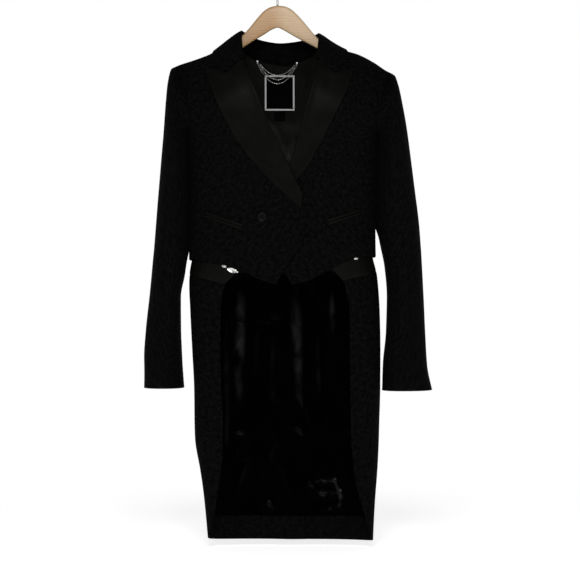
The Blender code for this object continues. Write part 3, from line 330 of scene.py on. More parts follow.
# The satin inside the tails hangs looser than the wool, so it has more creases, all inwards
TAIL_LINING_CREASES = (
    # Two long soft ones from the band down, and slighter ones between them
    Crease(-72, -515, -77, -830, 11.0, 2.9), Crease(35, -515, 38, -815, 11.0, 2.9),
    Crease(-96, -600, -98, -960, 7.0, 1.5), Crease(-38, -590, -46, -800, 9.0, 1.1),
    Crease(-6, -600, -12, -850, 8.0, 1.2), Crease(72, -600, 80, -870, 8.0, 1.3),
    Crease(103, -560, 107, -690, 6.5, 2.4), Crease(-40, -870, -84, -985, 8.0, 1.3),
    Crease(10, -850, -28, -950, 8.0, 1.1), Crease(36, -770, 62, -850, 7.0, 1.1),
    Crease(-4, -905, 34, -985, 7.0, 1.3),
    # Short dents
    Crease(-84, -856, -58, -868, 5.0, 2.1), Crease(-80, -893, -58, -916, 5.0, 2.1),
    Crease(-10, -762, 2, -806, 8.0, 1.8), Crease(28, -842, 52, -872, 5.0, 2.0),
    Crease(-24, -990, -2, -1004, 6.0, 2.0),
    # The crumpled loop low on the wearer's left
    Crease(50, -961, 117, -951, 4.0, 2.8), Crease(102, -943, 127, -985, 4.0, 2.5),
    Crease(121, -965, 118, -1007, 4.0, 2.8), Crease(125, -990, 93, -1009, 4.0, 2.6),
    Crease(54, -949, 91, -986, 4.0, 2.8), Crease(75, -979, 119, -973, 4.0, 2.5),
)
NECK_LINING_CREASES = (
    Crease(-96, -190, -78, -330, 7.0, 1.6), Crease(-60, -200, -56, -340, 6.0, 1.2),
    Crease(62, -200, 56, -340, 6.0, 1.4), Crease(100, -190, 86, -330, 7.0, 1.6),
    Crease(-30, -262, 12, -330, 6.0, 1.2), Crease(44, -262, 30, -360, 6.0, 1.2),
)

# How deep all the creases are, set from the panel
DEPTHS = {"cloth": 1.0, "lining": 1.0}


def creased(points, creases):
    """Each crease is its depth times a bell of the distance from its line, times a half sine along the line."""
    x, z = points[..., 0], points[..., 2]
    total = np.zeros(x.shape)
    for c in creases:
        run = np.array([c.to_x - c.x, c.to_z - c.z])
        length = np.linalg.norm(run)
        ahead = run / length
        along = ((x - c.x) * ahead[0] + (z - c.z) * ahead[1]) / length
        aside = (x - c.x) * -ahead[1] + (z - c.z) * ahead[0]
        swing = 2.2 * np.sin(2.7 * along + c.x * 0.05)
        bell = np.exp(-((aside + swing) / c.width) ** 2)
        total += c.depth * bell * np.sin(math.pi * np.clip(along, 0, 1)) ** 0.8
    return total


def waves(points):
    """A slow, shallow unevenness: the mean of three crossed sines, a millimetre high at most."""
    x, y, z = points[..., 0], points[..., 1], points[..., 2]
    first, second = np.sin(x / 21.0 + z / 47.0), np.sin(x / 34.0 - z / 29.0 + 1.3)
    return (first + second + np.sin(y / 17.0 + z / 38.0 + 0.4)) / 3


def body_relief(points):
    """The jacket's creases and waves, which fade out at the shoulders, where the hanger fills the cloth."""
    ahead = step_up(-points[..., 1], 4, 22)
    behind = step_up(points[..., 1], 4, 22)
    relief = creased(points, JACKET_FRONT_CREASES) * ahead + creased(points, JACKET_BACK_CREASES) * behind
    fade = step_up(-points[..., 2], 172, 235) * (1 - 0.6 * step_up(-points[..., 2], 500, 540))
    return DEPTHS["cloth"] * fade * (relief + 0.45 * waves(points))


def tail_relief(points):
    """The tails' long folds, which grow from the waistband down."""
    ahead = step_up(-points[..., 1], 2, 16)
    behind = step_up(points[..., 1], 2, 16)
    relief = creased(points, TAIL_FRONT_CREASES) * ahead + creased(points, TAIL_BACK_CREASES) * behind
    return DEPTHS["cloth"] * step_up(-points[..., 2], 565, 640) * (relief + 0.5 * waves(points))


def laid_on(shape, net, height):
    """Points at a height above a shape with its relief, along its outward normals, found from small steps over it."""
    u, v = net[..., 0], net[..., 1]
    du = 2e-3
    dv = 0.5 if shape is tail_point else 2e-3
    low = np.maximum(v - dv, 1e-4) if shape is body_point else v - dv
    normal = np.cross(shape(u, low + 2 * dv) - shape(u, low), shape(u + du, v) - shape(u - du, v))
    normal /= np.linalg.norm(normal, axis=-1, keepdims=True)
    points = shape(u, v)
    relief = tail_relief(points) if shape is tail_point else body_relief(points)
    return points + normal * (np.broadcast_to(height, u.shape) + relief)[..., None]


# The jacket's body

ArmholeRow = namedtuple("ArmholeRow", "angle turn right_z left_z")
ARMHOLE = (
    ArmholeRow(0, 0.820, -171.1, -184.2),
    ArmholeRow(30, 0.765, -180.3, -192.6),
    ArmholeRow(60, 0.675, -205.6, -215.6),
    ArmholeRow(90, 0.622, -240.3, -246.9),
    ArmholeRow(120, 0.620, -274.8, -278.2),
    ArmholeRow(150, 0.763, -300.1, -301.1),
    ArmholeRow(180, 1.000, -309.5, -309.5),
)
# Where the side panel's two seams meet the armhole, as angles round it from the top by way of the front
FRONT_SEAM_AT = 165
BACK_SEAM_AT = 210
SEAM_ROWS = 9
FRONT_HEM_TURN = 0.93
BACK_HEM_TURN = 1.34
# How far down from the shoulder line the neck seam is cut, in degrees of fall, from the middle of the back
BACK_NECK_FALLS = (58, 50, 38, 25, 12, 0)
FRONT_NECK_FALLS = (0, 12, 25, 37, 47, 56)
SHOULDER_COLUMNS = 9

# Lines of the cut for the wearer's right (-1), whose front laps over, and left (1)
BACK_NECKLINE = {
    -1: (Spot(5, -157), Spot(-22, -154.5), Spot(-48, -145), Spot(-68, -132.5), Spot(-84, -120.3)),
    1: (Spot(5, -157), Spot(32, -154.8), Spot(58, -146.5), Spot(78, -135), Spot(94, -125.0)),
}
FRONT_NECKLINE = {
    -1: (Spot(-84, -120.3), Spot(-80.5, -137), Spot(-74, -152), Spot(-66, -166)),
    1: (Spot(94, -125.0), Spot(90.5, -138), Spot(84, -152.5), Spot(77, -165.5)),
}
ROLL_LINE = {
    -1: (Spot(-66, -166), Spot(-40.5, -222), Spot(-17, -283), Spot(20, -359), Spot(45.5, -413)),
    1: (Spot(77, -165.5), Spot(63.5, -215), Spot(42, -290.5), Spot(21.5, -363), Spot(-22, -413)),
}
FRONT_EDGE = {
    -1: (Spot(45.5, -413), Spot(46, -440), Spot(50.6, -465.5), Spot(46.8, -498.5), Spot(27.4, -531.5),
         Spot(16.4, -547.7), Spot(-3.5, -580.3)),
    1: (Spot(-22, -413), Spot(-22, -440), Spot(-27, -465.5), Spot(-23.2, -498.5), Spot(-4, -531.5),
        Spot(7, -547.7), Spot(27.2, -580.3)),
}
FRONT_HEM = {
    -1: (Spot(-3.5, -580.3), Spot(-30.6, -571.5), Spot(-68.7, -553), Spot(-110.3, -541), Spot(-150.5, -534.5),
         Spot(-163, -533)),
    1: (Spot(27.2, -580.3), Spot(56, -573), Spot(96, -551.5), Spot(143, -530), Spot(172.5, -527),
        Spot(182.5, -525.5)),
}
SIDE_HEM_Z = {-1: -533.0, 1: -526.0}
CENTRE_BACK_HEM_Z = -531.0

# How far the under front dips to leave room for its own lapel and for the front that laps over both
UNDER_DIP = WOOL + FACED + 2.2 * LAYER_GAP


def under_dip(points):
    return -UNDER_DIP * step_up(-points[..., 0], -80, -56) * step_up(-points[..., 2], 300, 345)


def body_x(turn, z):
    """The x of a turn at a height on the jacket."""
    left, right = size_at(BODY_SECTIONS, "left", z), size_at(BODY_SECTIONS, "right", z)
    return (left + right) / 2 + shares(np.asarray(turn))[0] * (right - left) / 2


def armhole(side, angle):
    """(turn, fall) along an armhole, at angles from its top by way of the front."""
    angle = np.asarray(angle, float) % 360
    half = np.minimum(angle, 360 - angle)
    turn = side * smooth(column(ARMHOLE, "angle"), column(ARMHOLE, "turn"), half)
    rows = column(ARMHOLE, "right_z" if side < 0 else "left_z")
    z = smooth(column(ARMHOLE, "angle"), rows, half)
    top_x = body_x(side * ARMHOLE[0].turn, rows[0])
    z = z + (shoulder_z(top_x) - rows[0]) * np.clip(1 - half / 60, 0, 1)
    fall = np.where(half == 0, 0.0, fall_of(np.maximum(shoulder_z(body_x(turn, z)) - z, 0)))
    return np.stack([np.where(angle > 180, 2 * side - turn, turn), fall], axis=-1)


def neck_seam(spots, falls, back=False):
    """(turn, fall) along a neckline, at the given falls."""
    line = on_body(course(spots, 60), back)
    line = line[np.argsort(line[:, 1])]
    falls = np.radians(falls)
    falls[falls > line[-1, 1]] = line[-1, 1]
    return np.stack([np.interp(falls, line[:, 1], line[:, 0]), falls], axis=-1)


def side_seam(side, at, hem_turn):
    """The seam from the armhole, at an angle round it, down to a turn at the hem."""
    start = armhole(side, [at])[0]
    z = SIDE_HEM_Z[side]
    hem = np.array([side * hem_turn, fall_of(shoulder_z(body_x(side * hem_turn, z)) - z)])
    middle = np.array([start[0] * 0.45 + hem[0] * 0.55, start[1] * 0.7 + hem[1] * 0.3])
    return course([start, middle, hem], SEAM_ROWS)


def front_net(side):
    round_arm = armhole(side, np.arange(0, FRONT_SEAM_AT + 1, 15))
    outer = joined(round_arm, side_seam(side, FRONT_SEAM_AT, FRONT_HEM_TURN))
    inner = joined(neck_seam(FRONT_NECKLINE[side], FRONT_NECK_FALLS), on_body(course(ROLL_LINE[side], 7)),
                   on_body(course(FRONT_EDGE[side], 8)))
    hem = course(on_body(course(FRONT_HEM[side], 80)), SHOULDER_COLUMNS)
    hem[0], hem[-1] = inner[-1], outer[-1]
    return stretched(inner, outer, straight(inner[0], outer[0], SHOULDER_COLUMNS), hem)


def side_net(side):
    front, back = side_seam(side, FRONT_SEAM_AT, FRONT_HEM_TURN), side_seam(side, BACK_SEAM_AT, BACK_HEM_TURN)
    top = armhole(side, np.arange(FRONT_SEAM_AT, BACK_SEAM_AT + 1, 15))
    return stretched(front, back, top, straight(front[-1], back[-1], len(top) - 1))


def back_net(side):
    round_arm = armhole(side, np.arange(360, BACK_SEAM_AT - 1, -15))
    outer = joined(round_arm, side_seam(side, BACK_SEAM_AT, BACK_HEM_TURN))
    outer[0, 0] = 2 * side - outer[0, 0]
    neck = neck_seam(BACK_NECKLINE[side], BACK_NECK_FALLS, back=True)
    neck[0, 0] = side * 2
    low = fall_of(shoulder_z(BACK_NECKLINE[side][0].x) - CENTRE_BACK_HEM_Z)
    fall = np.linspace(neck[0, 1], low, len(outer))
    inner = np.stack([np.full(len(outer), side * 2.0), fall], axis=-1)
    top = joined(neck, straight(neck[-1], outer[0], SHOULDER_COLUMNS))
    return stretched(inner, outer, top, straight(inner[-1], outer[-1], len(top) - 1))


# Lapels, collar, pockets and button

LAPEL_GAP = 1.5 * LAYER_GAP
LAPEL_TOP = {
    -1: (Spot(-66, -166), Spot(-92.3, -191.2), Spot(-132.9, -180.1)),
    1: (Spot(77, -165.5), Spot(103.2, -191.2), Spot(140, -183)),
}
LAPEL_EDGE = {
    -1: (Spot(-132.9, -180.1), Spot(-125, -208), Spot(-88.5, -290.7), Spot(-38, -363.2), Spot(5.6, -406.5),
         Spot(43.5, -441)),
    1: (Spot(140, -183), Spot(132.5, -209.9), Spot(92.4, -294.3), Spot(56.3, -363), Spot(32.5, -392.3),
        Spot(-20, -441)),
}
LAPEL_ROWS = 12

# A row per station of the collar, from the middle of the back round to the gorge; down is below the shoulder
# line, and negative behind it. The neck seam's stations are its falls above.
CollarRow = namedtuple("CollarRow", "fold_x fold_y fold_z edge_x edge_down")
COLLAR = (
    CollarRow(5.0, 48.0, -122.5, 5.0, -70.0),
    CollarRow(-27.0, 43.5, -118.5, -66.0, -49.0),
    CollarRow(-45.0, 34.0, -113.5, -99.0, -27.0),
    CollarRow(-56.5, 22.0, -109.0, -112.0, -12.0),
    CollarRow(-63.0, 11.0, -106.0, -116.0, -3.0),
    CollarRow(-67.0, 0.0, -104.8, -117.0, 0.0),
    CollarRow(-68.0, -11.0, -107.5, -119.0, 2.5),
    CollarRow(-68.0, -24.0, -115.0, -120.5, 5.5),
    CollarRow(-67.0, -36.0, -127.0, -122.0, 9.0),
    CollarRow(-65.0, -48.5, -143.0, -123.3, 13.0),
    CollarRow(-61.5, -63.5, -162.0, -124.5, 18.0),
)
NECK_MIDDLE_X = 5.0
# The leaf's own cut edge leaves the gorge seam at the notch, this share of the way across and this far down
NOTCH_SHARE = 0.45
NOTCH_DOWN = 25.0
LEAF_SHARES = (0.0, 0.22, NOTCH_SHARE, 0.72, 1.0)


def lapel_net(side):
    roll = course(on_body(course(ROLL_LINE[side], 60)), LAPEL_ROWS)
    edge = course(on_body(course(LAPEL_EDGE[side], 60)), LAPEL_ROWS)
    start, notch, tip = LAPEL_TOP[side]
    top = joined(on_body(straight(start, notch, 2)), on_body(straight(notch, tip, 3)))
    return stretched(roll, edge, top, straight(roll[-1], edge[-1], len(top) - 1))


def signed(line):
    """(turn, fall) on the back or front as the pair that crosses the shoulder line."""
    turn, fall = line[..., 0], line[..., 1]
    behind = np.abs(turn) > 1
    turn = np.where(behind, 2 * np.sign(turn) - turn, turn)
    return np.stack([turn, np.where(behind, -fall, fall)], axis=-1)


def collar_frame(side):
    """Along the collar: the neck seam and outer edge as (turn, fall), the fold, and the way out."""
    neck = signed(joined(neck_seam(BACK_NECKLINE[side], BACK_NECK_FALLS, back=True),
                         neck_seam(FRONT_NECKLINE[side], FRONT_NECK_FALLS)))
    neck[0, 0] = 0.0
    rows = np.array(COLLAR)
    if side > 0:
        rows = rows * (-1, 1, 1, -1, 1) + (2 * NECK_MIDDLE_X, 0, 0, 2 * NECK_MIDDLE_X, 0)
        other = signed(joined(neck_seam(BACK_NECKLINE[-1], BACK_NECK_FALLS, back=True),
                              neck_seam(FRONT_NECKLINE[-1], FRONT_NECK_FALLS)))
        mean, mine = (shoulder_point(line[:, 0], line[:, 1]) for line in (neck, other))
        rows[:, 2] += (mean - mine)[:, 2]
    down = rows[:, 4]
    z = shoulder_z(rows[:, 3]) - np.abs(down)
    edge = np.stack([turn_of(BODY_SECTIONS, rows[:, 3], z), np.sign(down) * fall_of(np.abs(down))], axis=-1)
    edge[0, 0] = 0.0
    fold = rows[:, :3]
    out = fold * (1, 1, 0) - (NECK_MIDDLE_X, -5.0, 0)
    return neck, edge, fold, out / np.linalg.norm(out, axis=-1, keepdims=True)


def collar_stations():
    """The frames of both halves as one row of stations, from the right gorge round the back to the left."""
    halves = [collar_frame(side) for side in (-1, 1)]
    return [np.concatenate([first[::-1], second[1:]]) for first, second in zip(*halves)]


def normals_of(net):
    """Unit normals of a net of points, from the differences along its rows and columns."""
    normal = np.cross(np.gradient(net, axis=0), np.gradient(net, axis=1))
    return normal / np.linalg.norm(normal, axis=-1, keepdims=True)


def outward(net):
    """Normals of a piece round the neck, turned away from the neck's middle."""
    normal = normals_of(net)
    middle = np.array([NECK_MIDDLE_X, -5.0, net[..., 2].min() - 60])
    flip = np.sign(np.sum(normal * (net - middle), axis=-1))
    return normal * np.sign(np.median(flip))


PocketRow = namedtuple("PocketRow", "inner outer")
POCKETS = {
    -1: PocketRow(Spot(-63.3, -475.5), Spot(-134.7, -449.7)),
    1: PocketRow(Spot(92.5, -466.3), Spot(152.5, -445.8)),
}
JET_HEIGHT = 5.2
JET_COLUMNS = 6

BUTTON_AT = Spot(-27.8, -456.4)
ButtonRow = namedtuple("ButtonRow", "radius height")
BUTTON = (
    ButtonRow(5.5, 0.0), ButtonRow(8.4, 0.9), ButtonRow(8.8, 2.2), ButtonRow(8.0, 3.2), ButtonRow(6.4, 2.6),
)


# Sleeves

SleeveRow = namedtuple("SleeveRow", "outer_x outer_z inner_x inner_z front back")
SLEEVES = {
    -1: (
        SleeveRow(-197.5, -177.0, -170.2, -316, -58, 52),
        SleeveRow(-204.0, -200.0, -170.8, -330, -64, 58),
        SleeveRow(-208.0, -238.0, -170.4, -352, -71, 65),
        SleeveRow(-212.0, -290.0, -169.2, -380, -75, 68),
        SleeveRow(-217.0, -345.0, -168.2, -412, -73, 66),
        SleeveRow(-222.0, -410.0, -167.8, -450, -69, 62),
        SleeveRow(-228.0, -492.0, -167.6, -510, -66, 54),
        SleeveRow(-234.0, -555.0, -172.2, -560, -64, 46),
        SleeveRow(-239.0, -604.0, -180.0, -604, -62, 40),
        SleeveRow(-245.5, -665.0, -180.5, -663, -60, 36),
        SleeveRow(-249.2, -720.0, -178.5, -718, -58, 33),
        SleeveRow(-249.2, -772.0, -174.3, -772, -56, 31),
    ),
    1: (
        SleeveRow(219.0, -190.0, 189.8, -317, -58, 52),
        SleeveRow(225.5, -208.0, 190.6, -330, -64, 58),
        SleeveRow(233.5, -245.0, 190.8, -352, -71, 65),
        SleeveRow(241.8, -290.0, 189.8, -380, -75, 68),
        SleeveRow(249.5, -345.0, 188.6, -412, -73, 66),
        SleeveRow(257.0, -408.0, 187.6, -448, -69, 62),
        SleeveRow(264.5, -475.0, 189.5, -490, -66, 54),
        SleeveRow(269.5, -545.0, 199.5, -548, -64, 46),
        SleeveRow(272.8, -605.0, 203.8, -606, -62, 40),
        SleeveRow(275.5, -668.0, 203.0, -667, -60, 36),
        SleeveRow(279.5, -727.0, 197.5, -727, -58, 33),
        SleeveRow(289.0, -776.0, 195.5, -777, -56, 31),
    ),
}
# Angles round a sleeve from its outer line by way of the front, and the share of a row left to the binding
TOP_SLEEVE = np.arange(-120, 121, 15)
UNDER_SLEEVE = np.arange(120, 241, 15)
WHOLE_SLEEVE = np.arange(0, 360, 15)
BINDING_SHARE = 0.07


ARM_ANGLES = np.arange(0, 361, 15)


def sleeve_point(side, angle, row):
    """Points on a sleeve at angles round it, for rows of its table, where row 0 is the edge of the pieces' nets."""
    angle = np.asarray(angle, float)
    knots = armhole(side, ARM_ANGLES)
    knots[-1, 0] = 2 * side - knots[-1, 0]
    turns = smooth(ARM_ANGLES, knots, angle % 360)
    ahead, outer, outside = shares(angle / 90, SLEEVE_SQUARENESS)
    outer = np.where(outside, outer, -outer)
    rings = [laid_on(body_point, turns, 0.0)]
    for r in SLEEVES[side]:
        x = (r.outer_x + r.inner_x) / 2 + outer * (r.outer_x - r.inner_x) / 2
        z = (r.outer_z + r.inner_z) / 2 + outer * (r.outer_z - r.inner_z) / 2
        rings.append(np.stack([x, np.where(ahead > 0, r.front, r.back) * np.abs(ahead), z], axis=-1))
    return smooth(np.arange(len(rings)), np.array(rings), np.asarray(row, float))


# Tails

LineRow = namedtuple("LineRow", "turn z")
BAND_TOP = {
    -1: (LineRow(0.238, -541), LineRow(0.44, -533), LineRow(0.66, -527), LineRow(1.0, -525),
         LineRow(1.5, -523), LineRow(2.0, -523)),
    1: (LineRow(0.281, -539), LineRow(0.45, -531), LineRow(0.66, -524), LineRow(1.0, -518),
        LineRow(1.5, -519), LineRow(2.0, -523)),
}
BAND_BOTTOM = {
    -1: (LineRow(0.379, -578.6), LineRow(0.627, -565.8), LineRow(0.8, -562.5), LineRow(1.0, -561),
         LineRow(1.5, -561), LineRow(2.0, -561)),
    1: (LineRow(0.389, -573), LineRow(0.502, -566), LineRow(0.8, -557), LineRow(1.0, -554.5),
        LineRow(1.5, -556), LineRow(2.0, -561)),
}
TAIL_HEM = {
    -1: (LineRow(0.85, -1047), LineRow(1.0, -1053.5), LineRow(1.5, -1059.5), LineRow(2.0, -1061)),
    1: (LineRow(0.85, -1051), LineRow(1.0, -1058), LineRow(1.5, -1061), LineRow(2.0, -1061)),
}
TAIL_FRONT = {
    -1: (Spot(-96, -578.6), Spot(-100.2, -594.8), Spot(-103.9, -626.8), Spot(-105.5, -735.4),
         Spot(-100.3, -826.7), Spot(-102.2, -899.4), Spot(-107.6, -947), Spot(-111.3, -965.3),
         Spot(-118.9, -1015), Spot(-125.4, -1047)),
    1: (Spot(121.6, -573), Spot(127.4, -594.8), Spot(133, -626.8), Spot(134.6, -771.6), Spot(136.5, -862.7),
        Spot(142, -928), Spot(151.5, -972.5), Spot(166.3, -1017.4), Spot(175.0, -1051)),
}
# Shares of the way down at which the tails have rows; the vent opens between two, and the hem's facing
# starts at the last but one
TAIL_ROWS = np.array([0, 0.065, 0.12, 0.173, 0.197, 0.30, 0.41, 0.52, 0.63, 0.73, 0.82, 0.912, 1.0])
VENT_ROW = 3
TAIL_SEAM_TURN = 1.42
VENT_LAP_TURN = 0.11
TAIL_INSIDE = WOOL + 1.0
# The underlap lies inside the other tail and its lining
VENT_DIP = TAIL_INSIDE + LINING + 2.5 * LAYER_GAP


def height_on(rows, turn):
    """The z of a line of the tails, at turns counted from the front up to 2, on either side."""
    turn = np.abs(turn)
    return smooth(column(rows, "turn"), column(rows, "z"), np.where(turn > 2, 4 - turn, turn))


def tail_line(side, turn):
    """A line down a tail at a turn given for each of its rows."""
    turn = side * np.broadcast_to(turn, TAIL_ROWS.shape)
    top, hem = height_on(BAND_BOTTOM[side], turn[0]), height_on(TAIL_HEM[side], turn[-1])
    return np.stack([turn, -(top + TAIL_ROWS * (hem - top))], axis=-1)


def tail_front_line(side):
    spots = np.array(TAIL_FRONT[side])
    z = spots[0, 1] + TAIL_ROWS * (spots[-1, 1] - spots[0, 1])
    return on_tails(np.stack([smooth(spots[:, 1], spots[:, 0], z), z], axis=-1))


def tail_nets(side):
    """The side piece and the back piece of a tail; the right back laps under the left beyond the middle."""
    front, seam = tail_front_line(side), tail_line(side, TAIL_SEAM_TURN)
    lap = np.where(np.arange(len(TAIL_ROWS)) > VENT_ROW, VENT_LAP_TURN if side < 0 else 0.0, 0.0)
    nets = between(front, seam, 7), between(seam, tail_line(side, 2 + lap), 7)
    for net in nets:
        for line, at in ((BAND_BOTTOM, 0), (TAIL_HEM, -1)):
            net[at, 1:, 1] = -height_on(line[side], net[at, 1:, 0])
        net[1:-1, :, 1] = net[:1, :, 1] + TAIL_ROWS[1:-1, None] * (net[-1:, :, 1] - net[:1, :, 1])
    return nets


def vent_dip(net):
    """How far the right tail sinks beside the vent."""
    if net[0, 0, 0] > 0:
        return 0.0
    below = step_up(TAIL_ROWS, TAIL_ROWS[VENT_ROW - 1], TAIL_ROWS[VENT_ROW])[:, None]
    return -VENT_DIP * below * step_up(-net[..., 0], 1.86, 1.97)


# The zip

# Turns counted from the left front (0) by way of the back to the right front (4)
ZIP_TURNS = np.concatenate([np.linspace(0.30, 1.42, 8), np.linspace(1.42, 2.58, 11)[1:],
                            np.linspace(2.58, 3.73, 9)[1:]])
ZIP_ABOVE = 9.0
ZIP_INSET = 2.4
# Outlines of the metal pieces, along and across, and where they are on the front of the tails
SLIDER_AT = Spot(-97.0, -546.3)
SLIDER = ((-4.5, -2.2), (2.8, -3.2), (4.5, -1.8), (4.5, 1.8), (2.8, 3.2), (-4.5, 2.2))
PULL_HINGE = Spot(-92.6, -550.7)
PULL_END = Spot(-70.7, -557.9)
PULL = ((0.5, -1.6), (3.0, -2.0), (8.0, -4.3), (12.0, -4.6), (16.0, -3.2), (20.0, -1.5), (23.0, -0.9),
        (23.0, 0.9), (20.0, 1.5), (16.0, 3.2), (12.0, 4.6), (8.0, 4.3), (3.0, 2.0), (0.5, 1.6))
BOX_AT = Spot(144.4, -531.6)
BOX = ((-4.4, -2.6), (4.4, -2.6), (4.4, 2.6), (-4.4, 2.6))


def band_top(turn):
    """The height of the band's top at a turn from the left front (0) by the back to the right front (4)."""
    return np.where(turn < 2, height_on(BAND_TOP[1], turn), height_on(BAND_TOP[-1], 4 - turn))


# The lining in the neck, the label, the size tab and the chain

NECK_LINING_HEIGHT = -(WOOL + 2.1)
LINING_TURNS = np.linspace(1.32, 2.68, 19)
LINING_BOTTOM_Z = -505.0
LABEL = (Spot(-25.5, -179.0), Spot(32.9, -248.0))
SIZE_TAB = (Spot(-7.0, -248.6), Spot(14.0, -267.0))
CHAIN_ENDS = (Spot(-39.0, -155.0), Spot(37.0, -158.0))
CHAIN_LOWS = (-176.0, -184.0, -192.0)
CHAIN_WIRE = 0.7
# How far apart the strands leave an end, as a share of the chain's width
CHAIN_STEPS = 0.03

# The hanger and its hook

HangerRow = namedtuple("HangerRow", "x top bottom thick")
HANGER = (
    HangerRow(-176, -171.5, -183.0, 9), HangerRow(-164, -168.0, -183.5, 11),
    HangerRow(-150, -162.6, -179.0, 12), HangerRow(-122, -151.3, -166.0, 13),
    HangerRow(-100, -136.8, -155.0, 13), HangerRow(-84, -125.6, -147.0, 13),
    HangerRow(-75, -120.8, -142.0, 13), HangerRow(-65, -113.6, -137.0, 13),
    HangerRow(-54, -102.2, -130.0, 13),
    HangerRow(-38, -82.5, -120.0, 13), HangerRow(-24.5, -68.1, -112.0, 13), HangerRow(-12, -61.0, -104.0, 13),
    HangerRow(0, -58.6, -99.5, 13), HangerRow(12, -59.6, -104.5, 13), HangerRow(24, -64.5, -111.5, 13),
    HangerRow(42, -81.0, -121.5, 13), HangerRow(55, -96.0, -128.0, 13), HangerRow(69, -112.8, -135.5, 13),
    HangerRow(79, -122.0, -141.0, 13), HangerRow(94, -130.5, -149.0, 13), HangerRow(110, -139.5, -157.0, 13),
    HangerRow(130, -148.2, -165.0, 13), HangerRow(149, -153.8, -172.0, 12),
    HangerRow(179, -169.0, -187.0, 11), HangerRow(194, -178.5, -191.0, 9),
)
HANGER_BEVEL = 2.5
HOOK_WIRE = 1.8
HOOK_INSIDE = 18.0


# Reading nets more finely, and making meshes of them

# Distances of the first rows from an edge, so that it can be rounded, and the radius of a folded edge
EDGE_STEPS = (0.0, 0.12, 0.4, 0.8, 1.4, 2.4)
GRID = 4.0
FINE_GRID = 2.6


def stations(gaps, grid):
    """Places along knots that lie the given gaps apart: even steps in each gap, and close ones at both ends."""
    inside = [k + np.arange(count) / count for k, gap in enumerate(gaps) for count in [max(1, round(gap / grid))]]
    near = np.array(EDGE_STEPS)
    first, last = np.minimum(near / gaps[0], 0.9), len(gaps) - np.minimum(near / gaps[-1], 0.9)
    inside = np.concatenate(inside)
    inside = inside[(inside > first[-1] + 0.05) & (inside < last[-1] - 0.05)]
    return np.concatenate([np.unique(first), inside, np.unique(last)])


def finer(net, down, across):
    """The net read at places down and across it, on smooth curves through its rows and its columns."""
    rows = smooth(np.arange(net.shape[0]), net, down)
    return smooth(np.arange(net.shape[1]), rows.swapaxes(0, 1), across).swapaxes(0, 1)


def gaps_of(points):
    """The mean distances between a net's rows, and between its columns."""
    return (np.linalg.norm(np.diff(points, axis=0), axis=-1).mean(axis=1),
            np.linalg.norm(np.diff(points, axis=1), axis=-1).mean(axis=0))


def along_cloth(points):
    """Each point's distance along its column from the top edge, and along its row from the left edge."""
    down = np.linalg.norm(np.diff(points, axis=0), axis=-1)
    across = np.linalg.norm(np.diff(points, axis=1), axis=-1)
    return (np.concatenate([np.zeros_like(down[:1]), np.cumsum(down, axis=0)]),
            np.concatenate([np.zeros_like(across[:, :1]), np.cumsum(across, axis=1)], axis=1))


def edge_distances(points):
    """The distances to each edge of a net, along the cloth."""
    down, across = along_cloth(points)
    return {"top": down, "bottom": down[-1:] - down, "left": across, "right": across[:, -1:] - across}


def grid_faces(rows, columns, closed=False):
    """A face for each cell of a grid: a point, the one below it, and the same two of the next column."""
    row = np.arange(rows - 1)[:, None] * columns
    column = np.arange(columns if closed else columns - 1)[None]
    after = (column + 1) % columns
    return np.stack([row + column, row + columns + column, row + columns + after, row + after], -1).reshape(-1, 4)


def piece(name, points, faces, uv, kind, node=None, body=COAT):
    """A mesh object in metres with a map of its cloth, riding on a body and standing for one node or several."""
    mesh = bpy.data.meshes.new(name)
    mesh.from_pydata((points * MM).tolist(), [], faces.tolist())
    corners = np.empty(len(mesh.loops), dtype=np.int32)
    mesh.loops.foreach_get("vertex_index", corners)
    layer = mesh.uv_layers.new(name="cloth")
    layer.data.foreach_set("uv", np.ascontiguousarray(uv[corners], dtype=np.float32).ravel())
    mesh.materials.append(finish(kind))
    mesh.shade_smooth()
    mesh.update()
    made = bpy.data.objects.new(name, mesh)
    bpy.context.scene.collection.objects.link(made)
    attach(made, body)
    if node:
        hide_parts(*([node] if isinstance(node, str) else node))
    return made


def shell(outer, inner, closed=False):
    """(points, faces, map) of a wall between two nets of one size, with a strip round its rim."""
    rows, columns = outer.shape[:2]
    count = rows * columns
    index = np.arange(count).reshape(rows, columns)
    front = grid_faces(rows, columns, closed)
    if closed:
        loops = [np.append(index[0], index[0, 0])[::-1], np.append(index[-1], index[-1, 0])]
    else:
        loops = [np.concatenate([index[:, 0], index[-1, 1:], index[-2::-1, -1], index[0, -2::-1]])]
    rims = [np.stack([loop[1:], loop[:-1], loop[:-1] + count, loop[1:] + count], axis=-1) for loop in loops]
    faces = np.concatenate([front, front[:, ::-1] + count] + rims)
    down, right = np.gradient(outer, axis=0), np.gradient(outer, axis=1)
    if np.median(np.sum(np.cross(down, right) * (outer - inner), axis=-1)) < 0:
        faces = faces[:, ::-1]
    down, across = along_cloth(outer)
    uv = np.stack([across - across[:, columns // 2, None], -down], axis=-1).reshape(-1, 2) * MM
    return np.concatenate([outer.reshape(-1, 3), inner.reshape(-1, 3)]), faces, np.concatenate([uv, uv])


def rounded(distances, thickness, seams=()):
    """How far each face of a wall draws in near its free edges: a quarter circle of nearly half the thickness."""
    half = thickness / 2
    free = [distance for edge, distance in distances.items() if edge not in seams]
    nearest = np.minimum.reduce(free) if free else np.full(half.shape, np.inf)
    t = np.clip(1 - nearest / np.maximum(half, 1e-6), 0, 1)
    return half * (1 - np.sqrt(1 - 0.97 * t * t))


def seam_dip(distances, seams):
    """A shallow groove where the cloth turns in at its seams."""
    if not seams:
        return 0.0
    nearest = np.minimum.reduce([distances[seam] for seam in seams])
    return 0.55 * np.exp(-((nearest / 2.4) ** 2))


Swell = namedtuple("Swell", "edge width up down")


